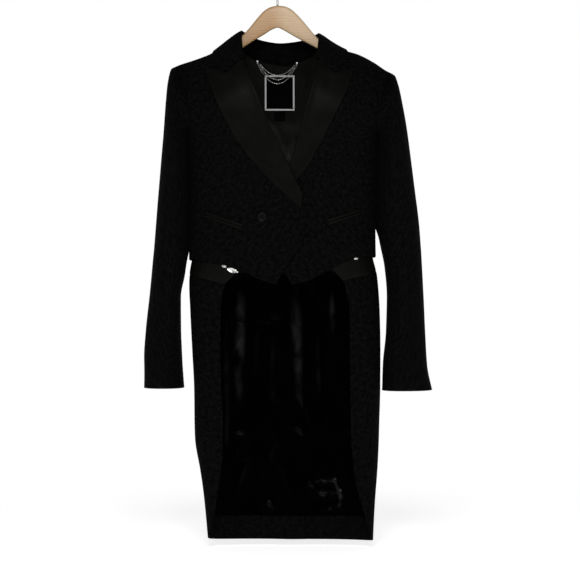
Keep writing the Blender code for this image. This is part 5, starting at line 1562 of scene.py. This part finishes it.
# Folds of a sleeve: from an angle and a row of its table to another, and a width and depth in millimetres
Fold = namedtuple("Fold", "angle row to_angle to_row width depth")
SLEEVE_FOLDS = (
    Fold(88, 0.6, 62, 3.6, 9, -1.9), Fold(-88, 0.6, -60, 3.6, 9, -1.9), Fold(120, 1.2, 96, 4.0, 9, -1.3),
    Fold(-120, 1.2, -98, 4.0, 9, -1.3), Fold(40, 1.0, 30, 3.0, 10, 1.2), Fold(-40, 1.0, -30, 3.0, 10, 1.2),
    Fold(176, 5.4, 84, 6.4, 7, -2.2), Fold(182, 6.3, 92, 7.5, 7, -2.4), Fold(178, 7.3, 100, 8.1, 6, -1.6),
    Fold(190, 5.7, 268, 6.8, 7, -2.0), Fold(186, 6.9, 262, 7.9, 7, -1.8), Fold(60, 6.2, 20, 7.6, 9, -1.3),
    Fold(-60, 6.0, -18, 7.4, 9, -1.3), Fold(150, 9.2, 84, 9.9, 8, -1.2), Fold(40, 9.0, 28, 11.2, 10, 1.2),
    Fold(-70, 8.6, -60, 11.0, 10, -1.4), Fold(110, 10.2, 104, 11.6, 8, -1.0),
)
ROW_STEP = 52.0
DEGREE = 0.72
# How far a sleeve is pressed against the coat's side in millimetres, and the rows between which that ends
Press = namedtuple("Press", "depth until ends")
SLEEVE_PRESS = {-1: Press(4.6, 6.7, 7.6), 1: Press(6.8, 6.4, 7.2)}


def sleeve_relief(angle, row):
    """Folds of a sleeve, worked like the creases on its angles and rows laid out flat."""
    angle, row = np.broadcast_arrays(angle, row)
    total = np.zeros(angle.shape)
    for fold in SLEEVE_FOLDS:
        away = (angle - fold.angle + 180) % 360 - 180
        run = np.array([(fold.to_angle - fold.angle) * DEGREE, (fold.to_row - fold.row) * ROW_STEP])
        length = np.linalg.norm(run)
        a, b = away * DEGREE, (row - fold.row) * ROW_STEP
        along = (a * run[0] + b * run[1]) / length**2
        aside = (a * -run[1] + b * run[0]) / length
        bell = np.exp(-((aside / fold.width) ** 2))
        total += fold.depth * bell * np.sin(math.pi * np.clip(along, 0, 1)) ** 0.8
    around = np.radians(angle)
    slow = 0.5 * np.sin(3 * around + row * 0.9) + 0.35 * np.sin(2 * around - row * 1.7)
    return DEPTHS["cloth"] * step_up(row, 0.0, 1.2) * (1 - 0.7 * step_up(row, 11.4, 12)) * (total + slow)


def pressed(side, angle, row):
    """How far a sleeve is pushed level towards the coat's side, by a bell of the angle round its inner line."""
    press = SLEEVE_PRESS[side]
    held = step_up(row, 0.05, 0.8) * (1 - step_up(row, press.until, press.ends))
    return press.depth * held * np.exp(-(((angle % 360 - 180) / 36) ** 2))


def sleeve_shell(side, angles, rows, thickness, closed=False, raised=0.0):
    """The two faces of a stretch of sleeve, whose thickness points into each ring, with its folds."""
    grid_rows, grid_angles = np.meshgrid(rows, angles, indexing="ij")
    outer = sleeve_point(side, angles, rows)
    along = sleeve_point(side, angles + 1.0, rows) - sleeve_point(side, angles - 1.0, rows)
    ends = sleeve_point(side, [0, 180], rows)
    normal = np.cross(along, np.cross((0.0, 1.0, 0.0), ends[:, :1] - ends[:, 1:]))
    normal /= np.linalg.norm(normal, axis=-1, keepdims=True)
    normal *= np.sign(np.sum(normal * (outer - ends.mean(axis=1, keepdims=True)), axis=-1, keepdims=True))
    outer = outer + normal * (sleeve_relief(grid_angles, grid_rows) + raised)[..., None]
    outer[..., 0] -= side * pressed(side, grid_angles, grid_rows)
    if closed:
        return outer, outer - normal * thickness
    distances = edge_distances(outer)
    seams = ("top", "left", "right")
    drawn = rounded(distances, np.full(outer.shape[:2], thickness), seams)
    dip = seam_dip(distances, seams)
    return outer - normal * (drawn + dip)[..., None], outer - normal * (thickness - drawn + dip)[..., None]


class TAILCOAT_OT_sleeves(bpy.types.Operator):
    """Makes the two-piece sleeves with the folds at the head and the elbow, and the satin edge of each cuff"""

    bl_idname = "tailcoat.sleeves"
    bl_label = "Sleeves"

    def execute(self, context):
        for side, who in SIDES:
            last = len(SLEEVES[side])
            rows = np.append(np.arange(last), last - BINDING_SHARE)
            for place, angles in (("top", TOP_SLEEVE), ("under", UNDER_SLEEVE)):
                down_gaps, across_gaps = gaps_of(sleeve_point(side, angles, rows))
                down = np.interp(stations(down_gaps, GRID), np.arange(len(rows)), rows)
                across = np.interp(stations(across_gaps, GRID), np.arange(len(angles)), angles)
                outer, inner = sleeve_shell(side, across, down, WOOL)
                points, faces, uv = shell(outer, inner)
                node = "sleeve_%s_%s" % (who, place)
                made = piece("cloth_" + node, points, faces, uv, "wool", node)
            ring = armhole(side, ARM_ANGLES[:-1])
            path = laid_on(body_point, ring, -1.7)
            piece("armhole_tape_" + who, *tube(path, 1.5, 10, closed=True), "wool")
            share = np.linspace(0, 1, 7)
            across = np.arange(0, 360, 4.0)
            bulge = 0.35 * np.sin(math.pi * share)[:, None]
            outer, inner = sleeve_shell(side, across, last - BINDING_SHARE * (1 - share), WOOL, True, bulge)
            points, faces, uv = shell(outer, inner, closed=True)
            piece("satin_cuff_" + who, points, faces, uv, "satin", "cuff_binding_" + who)
        return {"FINISHED"}


def heighted(net, height):
    """A net of two coordinates with a height as its third."""
    return np.concatenate([net, np.broadcast_to(height, net.shape[:2])[..., None]], axis=-1)


class TAILCOAT_OT_tails(bpy.types.Operator):
    """Makes the wool tails, their creased satin lining, the turned-up hems and the satin waistband"""

    bl_idname = "tailcoat.tails"
    bl_label = "Tails"

    def execute(self, context):
        for side, who in SIDES:
            nets = tail_nets(side)
            for name, net, seams in (("side", nets[0], ("top", "right")), ("back", nets[1], ("top", "left"))):
                node = "tail_%s_%s" % (who, name)
                cloth("cloth_" + node, tail_point, heighted(net, vent_dip(net)), "wool", WOOL, 0.0, node, seams)
            whole = np.concatenate([nets[0], nets[1][:, 1:]], axis=1)
            whole = heighted(whole, np.broadcast_to(vent_dip(whole), whole.shape[:2]) - TAIL_INSIDE)
            cloth("satin_tail_lining_" + who, tail_point, whole[:-1, 1:], "lining", LINING, 0.0,
                  "tail_lining_" + who, ("top", "left", "right"), Swell("bottom", 4.0, 0.0, 0.5),
                  lining_creases, FINE_GRID)
            cloth("cloth_hem_" + who, tail_point, whole[-2:], "wool", LINING, 0.0, "hem_facing_" + who,
                  ("left", "right"))
            lines = []
            for table in (BAND_TOP[side], BAND_BOTTOM[side]):
                turns = np.concatenate([np.linspace(table[0].turn, TAIL_SEAM_TURN, 13),
                                        np.linspace(TAIL_SEAM_TURN, 2, 8)[1:]])
                lines.append(np.stack([side * turns, -height_on(table, turns)], axis=-1))
            band = np.array([lines[0], (lines[0] + lines[1]) / 2, lines[1]])
            cloth("satin_waistband_" + who, tail_point, band, "band", SATIN, 0.0, "waistband_" + who,
                  ("top", "bottom", "right"))
        self.vent_fold()
        return {"FINISHED"}

    def vent_fold(self):
        """A short fold of wool that closes the top of the vent, from the left tail's edge in to the right tail."""
        share = np.linspace(TAIL_ROWS[VENT_ROW - 1], TAIL_ROWS[VENT_ROW + 1], 9)[:, None]
        top, foot = height_on(BAND_BOTTOM[-1], 2.0), height_on(TAIL_HEM[-1], 2.0)
        sunk = VENT_DIP * step_up(share, TAIL_ROWS[VENT_ROW - 1], TAIL_ROWS[VENT_ROW])
        height = -0.4 - np.array([0.0, 0.5, 1.0]) * np.maximum(sunk - 0.5, 0.6)
        faces = []
        for turn in (-1.999, -1.993):
            net = np.stack(np.broadcast_arrays(turn, -(top + share * (foot - top)), height), axis=-1)
            faces.append(laid_on(tail_point, net, net[..., 2]))
        free_cloth("vent_fold", faces[0], faces[1], "wool", None, hung=False)


def lining_creases(points):
    """The lining's creases all fall inwards, away from the wool."""
    shown = step_up(points[..., 1], 0, 14)
    small = 0.5 + 0.5 * np.sin(points[..., 0] / 6.1 + 1.8 * np.sin(points[..., 2] / 31.0))
    depth = creased(points, TAIL_LINING_CREASES) * shown + 0.25 * small * shown
    return -DEPTHS["lining"] * depth * step_up(-points[..., 2], 562, 600)


def neck_creases(points):
    return -DEPTHS["lining"] * creased(points, NECK_LINING_CREASES)


def plate(outline, frame, rings):
    """An outline in a frame's plane, carried through rings of (inset, height) and closed at both ends."""
    at, ahead, across, normal = frame
    outline = np.array(outline, float)
    for _ in range(2):
        after = np.roll(outline, -1, axis=0)
        outline = np.stack([outline * 0.75 + after * 0.25, outline * 0.25 + after * 0.75], axis=1).reshape(-1, 2)
    centre = outline.mean(axis=0)
    edge = np.roll(outline, -1, axis=0) - np.roll(outline, 1, axis=0)
    inwards = np.stack([-edge[:, 1], edge[:, 0]], axis=-1) / np.linalg.norm(edge, axis=1, keepdims=True)
    inwards *= np.sign(np.sum(inwards * (centre - outline)))
    made = []
    for inset, height in rings:
        flat = outline + inwards * inset if inset >= 0 else centre + (outline - centre) * 0.04
        made.append(at + flat[:, :1] * ahead + flat[:, 1:] * across + normal * height)
    points = np.concatenate(made)
    return points, grid_faces(len(rings), len(outline), True)[:, ::-1], points[:, [0, 2]] * MM


def frame_on_tails(spot, towards):
    """A point on the front of the tails, with the way to another point, the way across and the normal."""
    at, normal = frame_at(tail_point, on_tails(np.array(spot, float)), 0.0)
    ahead = frame_at(tail_point, on_tails(np.array(towards, float)), 0.0)[0] - at
    ahead -= normal * (ahead @ normal)
    ahead /= np.linalg.norm(ahead)
    return at, ahead, np.cross(normal, ahead), normal


# Rings of a plate: how far each is drawn in, and its height; a negative inset closes the plate
SLIDER_RINGS = ((-1, 0.2), (0.4, 0.2), (0.0, 0.6), (0.0, 2.2), (0.5, 2.8), (1.2, 2.8), (-1, 2.8))
PULL_RINGS = ((-1, 0.4), (0.3, 0.4), (0.0, 0.65), (0.0, 1.35), (0.3, 1.6), (0.75, 1.6), (1.0, 1.4), (-1, 1.35))
BOX_RINGS = ((-1, 0.2), (0.3, 0.2), (0.0, 0.5), (0.0, 1.7), (0.4, 2.0), (-1, 2.0))


class TAILCOAT_OT_zip(bpy.types.Operator):
    """Makes the zip that holds the tails: the tape, its teeth, the slider, the pull tab and the end box"""

    bl_idname = "tailcoat.zip"
    bl_label = "Zip"

    def execute(self, context):
        z = band_top(ZIP_TURNS)
        fall = fall_of(shoulder_z(body_x(ZIP_TURNS, z + ZIP_ABOVE)) - z - ZIP_ABOVE)
        high = laid_on(body_point, np.stack([ZIP_TURNS, fall], axis=-1), -WOOL - ZIP_INSET)
        low = laid_on(tail_point, np.stack([ZIP_TURNS, -z - SEAM_GAP], axis=-1), 0.0)
        inner_high = laid_on(body_point, np.stack([ZIP_TURNS, fall], axis=-1), -WOOL - ZIP_INSET - RIBBON)
        inner_low = laid_on(tail_point, np.stack([ZIP_TURNS, -z - SEAM_GAP], axis=-1), -RIBBON)
        free_cloth("zip_ribbon", np.array([high, (high + low) / 2, low]),
                   np.array([inner_high, (inner_high + inner_low) / 2, inner_low]), "tape", "zip_tape", hung=False)
        # The teeth ride a little higher behind, inside the back's hem
        share = 0.35 + 0.40 * step_up(high[:, 1], 0, 30)[:, None]
        places = np.linspace(0, len(ZIP_TURNS) - 1, 600)
        line = smooth(np.arange(len(ZIP_TURNS)), high * share + low * (1 - share), places)
        inner = smooth(np.arange(len(ZIP_TURNS)), inner_high * share + inner_low * (1 - share), places)
        outwards = (line - inner) / np.linalg.norm(line - inner, axis=-1, keepdims=True)
        at = evenly(line + outwards * 0.45, context.scene.tailcoat_trim.tooth_pitch / MM / 2)
        nearest = np.linalg.norm(at[:, None] - line[None], axis=-1).argmin(axis=1)
        axes = frames_along(at, outwards[nearest])
        at = at + axes[:, 1] * np.where(np.arange(len(at)) % 2, 0.55, -0.55)[:, None]
        points, faces = bead(6, 4)
        piece("zip_teeth", *many(points * (0.52, 1.5, 0.55), faces, at, axes), "metal")
        slider = frame_on_tails(SLIDER_AT, (SLIDER_AT.x + 5, SLIDER_AT.z - 0.5))
        bow = np.linspace(0, math.pi, 13)
        path = (slider[0] + np.outer(-2.4 * np.cos(bow), slider[1])
                + np.outer(2.6 + 1.5 * np.sin(bow), slider[3]))
        piece("metal_zip_slider", *together(plate(SLIDER, slider, SLIDER_RINGS), tube(path, 0.55, 8)), "metal",
              "zip_slider")
        box = frame_on_tails(BOX_AT, (BOX_AT.x + 5, BOX_AT.z + 1.2))
        piece("metal_zip_box", *plate(BOX, box, BOX_RINGS), "metal", "zip_box")
        pull = frame_on_tails(PULL_HINGE, PULL_END)
        piece("metal_zip_pull", *plate(PULL, pull, PULL_RINGS), "metal", "zip_pull", "zip_pull")
        return {"FINISHED"}


LABEL_BORDER = 3.2
LABEL_BORDER_INSET = 0.7


class TAILCOAT_OT_neck(bpy.types.Operator):
    """Makes the lining inside the back, the bordered label, bare inside, the size tab and the hanging chain"""

    bl_idname = "tailcoat.neck"
    bl_label = "Neck"

    def execute(self, context):
        neck = []
        for turn in LINING_TURNS:
            side = 1 if turn <= 2 else -1
            line = neck_seam(BACK_NECKLINE[side], BACK_NECK_FALLS, back=True)
            ends = np.abs(2 - np.abs(line[:, 0]))
            neck.append(np.interp(abs(2 - turn), ends, line[:, 1] + math.radians(4), right=math.radians(11)))
        top = np.stack([LINING_TURNS, np.maximum(neck, math.radians(11))], axis=-1)
        low = fall_of(shoulder_z(body_x(LINING_TURNS, LINING_BOTTOM_Z)) - LINING_BOTTOM_Z)
        share = np.linspace(0, 1, 11)[:, None, None]
        net = top * (1 - share) + np.stack([LINING_TURNS, low], axis=-1) * share
        cloth("satin_lining_back", body_point, net, "neck", LINING, NECK_LINING_HEIGHT, "lining_back",
              extra=neck_creases, grid=FINE_GRID)
        on_lining = NECK_LINING_HEIGHT - LINING - 1.2
        self.flat_piece("woven_label", LABEL[0], LABEL[1], "label", on_lining, "neck_label")
        self.flat_piece("woven_size_tab", SIZE_TAB[0], SIZE_TAB[1], "label", on_lining, "size_tab")
        a, b = LABEL
        inset, width = LABEL_BORDER_INSET, LABEL_BORDER
        left, right, high, deep = a.x + inset, b.x - inset, a.z - inset, b.z + inset
        bars = ((left, high, right, high - width), (left, deep + width, right, deep),
                (left, high - width, left + width, deep + width), (right - width, high - width, right, deep + width))
        borders = [self.bar(*bar, on_lining - RIBBON) for bar in bars]
        piece("label_border", *together(*borders), "white")
        self.chain(context, on_lining)
        return {"FINISHED"}

    def back_net(self, x0, z0, x1, z1, rows, columns):
        """A net of upright columns on the inside of the back."""
        x, z = np.meshgrid(np.linspace(x0, x1, columns), np.linspace(z0, z1, rows))
        net = on_body(np.stack([x, z], axis=-1), back=True)
        net[..., 0] = np.where(net[..., 0] < 0, net[..., 0] + 4, net[..., 0])
        return net

    def flat_piece(self, name, start, end, kind, height, node):
        cloth(name, body_point, self.back_net(start.x, start.z, end.x, end.z, 9, 9), kind, RIBBON, height, node,
              hung=False, grid=2.0)

    def bar(self, x0, z0, x1, z1, height):
        """A thin woven bar that stands a little proud of the label's face, towards the wearer."""
        net = self.back_net(x0, z0, x1, z1, 2 + int(abs(z1 - z0) / 4), 2 + int(abs(x1 - x0) / 4))
        return shell(laid_on(body_point, net, height + 0.25), laid_on(body_point, net, height - 0.12))

    def chain(self, context, on_lining):
        a, b = (np.array(spot) for spot in CHAIN_ENDS)
        length = context.scene.tailcoat_trim.link_length / MM
        for number, low in enumerate(CHAIN_LOWS, 1):
            t = np.linspace(0, 1, 161)
            inset = CHAIN_STEPS * (len(CHAIN_LOWS) - number) + 0.005
            line = a + (b - a) * (inset + t[:, None] * (1 - 2 * inset))
            coarse = a + (b - a) * (inset + np.linspace(0, 1, 17)[:, None] * (1 - 2 * inset))
            line[:, 1] += (low - coarse[:, 1].mean()) * (1 - (2 * t - 1) ** 2) - 3.2
            net = on_body(line, back=True)
            path = laid_on(body_point, net, on_lining - RIBBON - 1.0 - CHAIN_WIRE)
            inwards = path - laid_on(body_point, net, on_lining - RIBBON - CHAIN_WIRE)
            at = evenly(path, length * 0.62)
            nearest = np.linalg.norm(at[:, None] - path[None], axis=-1).argmin(axis=1)
            axes = frames_along(at, inwards[nearest])
            turned = np.stack([axes[:, 0], axes[:, 2], -axes[:, 1]], axis=1)
            axes = np.where((np.arange(len(at)) % 2 == 0)[:, None, None], axes, turned)
            points, faces = link_form(length, length * 0.62, 0.32)
            piece("chain_%d" % number, *many(points, faces, at, axes), "metal", "chain_strand_%d" % number)
        for number, spot in enumerate(CHAIN_ENDS, 1):
            at, normal = frame_at(body_point, on_body(np.array(spot), back=True), on_lining - 0.1)
            level, up = square_frame(-normal)
            form = lathe(((0.3, 0.0), (3.2, 0.0), (3.2, 0.8), (2.9, 1.3), (2.2, 1.75), (1.2, 1.95),
                          (0.3, 2.0)), 28)
            piece("chain_stud_%d" % number, form[0] @ np.stack([level, up, -normal]) + at, form[1], form[2],
                  "metal", "chain_end_%d" % number)


class TAILCOAT_OT_hanger(bpy.types.Operator):
    """Makes the bare wooden hanger with rounded edges, and its steel hook"""

    bl_idname = "tailcoat.hanger"
    bl_label = "Hanger"

    def execute(self, context):
        knots = column(HANGER, "x")
        ends = 4.0 * (1 - np.cos(np.linspace(0, math.pi / 2, 7)))
        inside = np.arange(knots[0] + 6, knots[-1] - 6, 2.5)
        x = np.concatenate([knots[0] + ends, inside, knots[-1] - ends[::-1]])
        high, deep, thick = (smooth(knots, column(HANGER, name), x) for name in ("top", "bottom", "thick"))
        shrink = np.sqrt(np.clip(1 - (1 - np.minimum(x - knots[0], knots[-1] - x) / 4.0).clip(0) ** 2, 0.02, 1))
        turn = np.linspace(0, 2 * math.pi, 40, endpoint=False)
        across, up = ring_of(turn, 4.5)
        ring_y = across * (thick / 2 * shrink)[:, None]
        ring_z = ((high + deep) / 2)[:, None] + up * ((high - deep) / 2 * shrink)[:, None]
        points = np.stack([np.broadcast_to(x[:, None], ring_y.shape), ring_y, ring_z], axis=-1)
        caps = [np.broadcast_to(points[i].mean(axis=0), points[i].shape) * 0.96 + points[i] * 0.04
                for i in (0, -1)]
        points = np.concatenate([caps[:1], points, caps[1:]])
        faces = grid_faces(len(points), len(turn), True)[:, ::-1]
        points = points.reshape(-1, 3)
        piece("hanger_wood", points, faces, points[:, [0, 2]] * MM, "wood", "hanger")
        reach = HOOK_INSIDE + HOOK_WIRE
        arc = np.radians(np.arange(-68, 206, 4.0))
        bend = np.stack([reach * np.cos(arc), 0 * arc, -HOOK_INSIDE + reach * np.sin(arc)], axis=-1)
        stem = course(((0, -58.2), (0, -50), (0.7, -45), (2.8, -40.6)), 14)
        stem = np.stack([stem[:, 0], 0 * stem[:, 0], stem[:, 1]], axis=-1)
        path = np.concatenate([stem, bend])
        path = np.concatenate([path[:1], path, path[-1:] + (path[-1] - path[-2]) * 0.3])
        narrow = np.concatenate([[0.3], np.full(len(path) - 3, HOOK_WIRE), [1.4, 0.3]])
        path[0, 2] -= 0.3
        piece("hook_wire", *tube(path, narrow, 16), "metal", "hook")
        return {"FINISHED"}


def ring_of(turn, squareness):
    """A squared circle: cosine and sine, each drawn out to a power of 2 over the squareness."""
    c, s = np.cos(turn), np.sin(turn)
    return np.sign(c) * np.abs(c) ** (2 / squareness), np.sign(s) * np.abs(s) ** (2 / squareness)


class TAILCOAT_OT_stage(bpy.types.Operator):
    """Makes the pale floor, the soft lamps, the room's light and the camera"""

    bl_idname = "tailcoat.stage"
    bl_label = "Stage"

    def execute(self, context):
        stage = context.scene.tailcoat_stage
        height = CAD_BOX[0][2] - stage.floor_drop
        turn = np.linspace(0, 2 * math.pi, 96, endpoint=False)
        rim = 60 * np.stack([np.cos(turn), np.sin(turn), 0 * turn], axis=-1)
        mesh = bpy.data.meshes.new("floor")
        mesh.from_pydata(rim.tolist(), [], [range(len(rim))])
        mesh.materials.append(studio_white("studio_floor", stage.floor, stage.floor_radius))
        floor = bpy.data.objects.new("floor", mesh)
        floor.location = (stage.aim_x, 0, height)
        context.scene.collection.objects.link(floor)
        self.lamp("key_lamp", stage.key, (-0.05, -3.1, 1.1), 0.9)
        self.lamp("left_lamp", 0.7 * stage.fill, (-2.2, -2.6, 0.4), 1.8)
        self.lamp("right_lamp", 0.8 * stage.fill, (2.2, -2.6, 0.4), 1.8)
        self.lamp("back_lamp", stage.fill, (0.3, 2.6, 1.2), 1.8)
        self.room(context.scene, stage.air)
        view = bpy.data.cameras.new("camera")
        view.lens, view.sensor_width = stage.lens, 36.0
        camera = bpy.data.objects.new("camera", view)
        camera.location = (stage.aim_x, -stage.distance, stage.aim_z)
        camera.rotation_euler = (math.radians(90), 0, 0)
        context.scene.collection.objects.link(camera)
        context.scene.camera = camera
        context.scene.view_settings.view_transform = "Standard"
        return {"FINISHED"}

    def lamp(self, name, power, place, size):
        """A square soft lamp that faces the middle of the coat."""
        light = bpy.data.lights.new(name, "AREA")
        light.energy, light.size = power, size
        lamp = bpy.data.objects.new(name, light)
        lamp.location = place
        away = np.array(place) - (0.02, 0.0, -0.55)
        tilt = math.acos(away[2] / np.linalg.norm(away))
        lamp.rotation_euler = (tilt, 0, math.atan2(away[1], away[0]) + math.pi / 2)
        bpy.context.scene.collection.objects.link(lamp)

    def room(self, scene, strength):
        """White where the camera sees it, and a pale even light on the coat."""
        world = bpy.data.worlds.new("studio")
        world.use_nodes = True
        tree = world.node_tree
        back = tree.nodes["Background"]
        back.inputs[0].default_value = (1, 1, 1, 1)
        seen = node(tree, "ShaderNodeLightPath").outputs["Is Camera Ray"]
        level = node(tree, "ShaderNodeMapRange", {"Value": seen, "To Min": strength, "To Max": 1.0})
        tree.links.new(level.outputs[0], back.inputs[1])
        scene.world = world


PIECES = (TAILCOAT_OT_jacket_body, TAILCOAT_OT_lapels, TAILCOAT_OT_collar, TAILCOAT_OT_pockets, TAILCOAT_OT_button,
          TAILCOAT_OT_sleeves, TAILCOAT_OT_tails, TAILCOAT_OT_zip, TAILCOAT_OT_neck, TAILCOAT_OT_hanger,
          TAILCOAT_OT_stage)


class TAILCOAT_PT_panel(bpy.types.Panel):
    """The coat's sizes, colours and pieces, in the sidebar"""

    bl_idname = "TAILCOAT_PT_panel"
    bl_label = "Tailcoat"
    bl_space_type = "VIEW_3D"
    bl_region_type = "UI"
    bl_category = "Tailcoat"

    def draw(self, context):
        for group in (context.scene.tailcoat_cloth, context.scene.tailcoat_trim, context.scene.tailcoat_stage):
            box = self.layout.box()
            for name in group.__annotations__:
                box.prop(group, name)
        for operator in PIECES:
            self.layout.operator(operator.bl_idname)


CLASSES = (TailcoatCloth, TailcoatTrim, TailcoatStage) + PIECES + (TAILCOAT_PT_panel,)
GROUPS = {"tailcoat_cloth": TailcoatCloth, "tailcoat_trim": TailcoatTrim, "tailcoat_stage": TailcoatStage}


def register():
    for made in CLASSES:
        bpy.utils.register_class(made)
    for name, group in GROUPS.items():
        setattr(bpy.types.Scene, name, PointerProperty(type=group))


def unregister():
    for name in GROUPS:
        delattr(bpy.types.Scene, name)
    for made in reversed(CLASSES):
        bpy.utils.unregister_class(made)


def main():
    """Makes everything in order."""
    register()
    DEPTHS["cloth"] = bpy.context.scene.tailcoat_cloth.creases
    DEPTHS["lining"] = bpy.context.scene.tailcoat_cloth.lining_creases
    for operator in (bpy.ops.tailcoat.stage, bpy.ops.tailcoat.hanger, bpy.ops.tailcoat.jacket_body,
                     bpy.ops.tailcoat.lapels, bpy.ops.tailcoat.collar, bpy.ops.tailcoat.pockets,
                     bpy.ops.tailcoat.button, bpy.ops.tailcoat.sleeves, bpy.ops.tailcoat.tails,
                     bpy.ops.tailcoat.zip, bpy.ops.tailcoat.neck):
        operator()


if __name__ == "__main__":
    main()
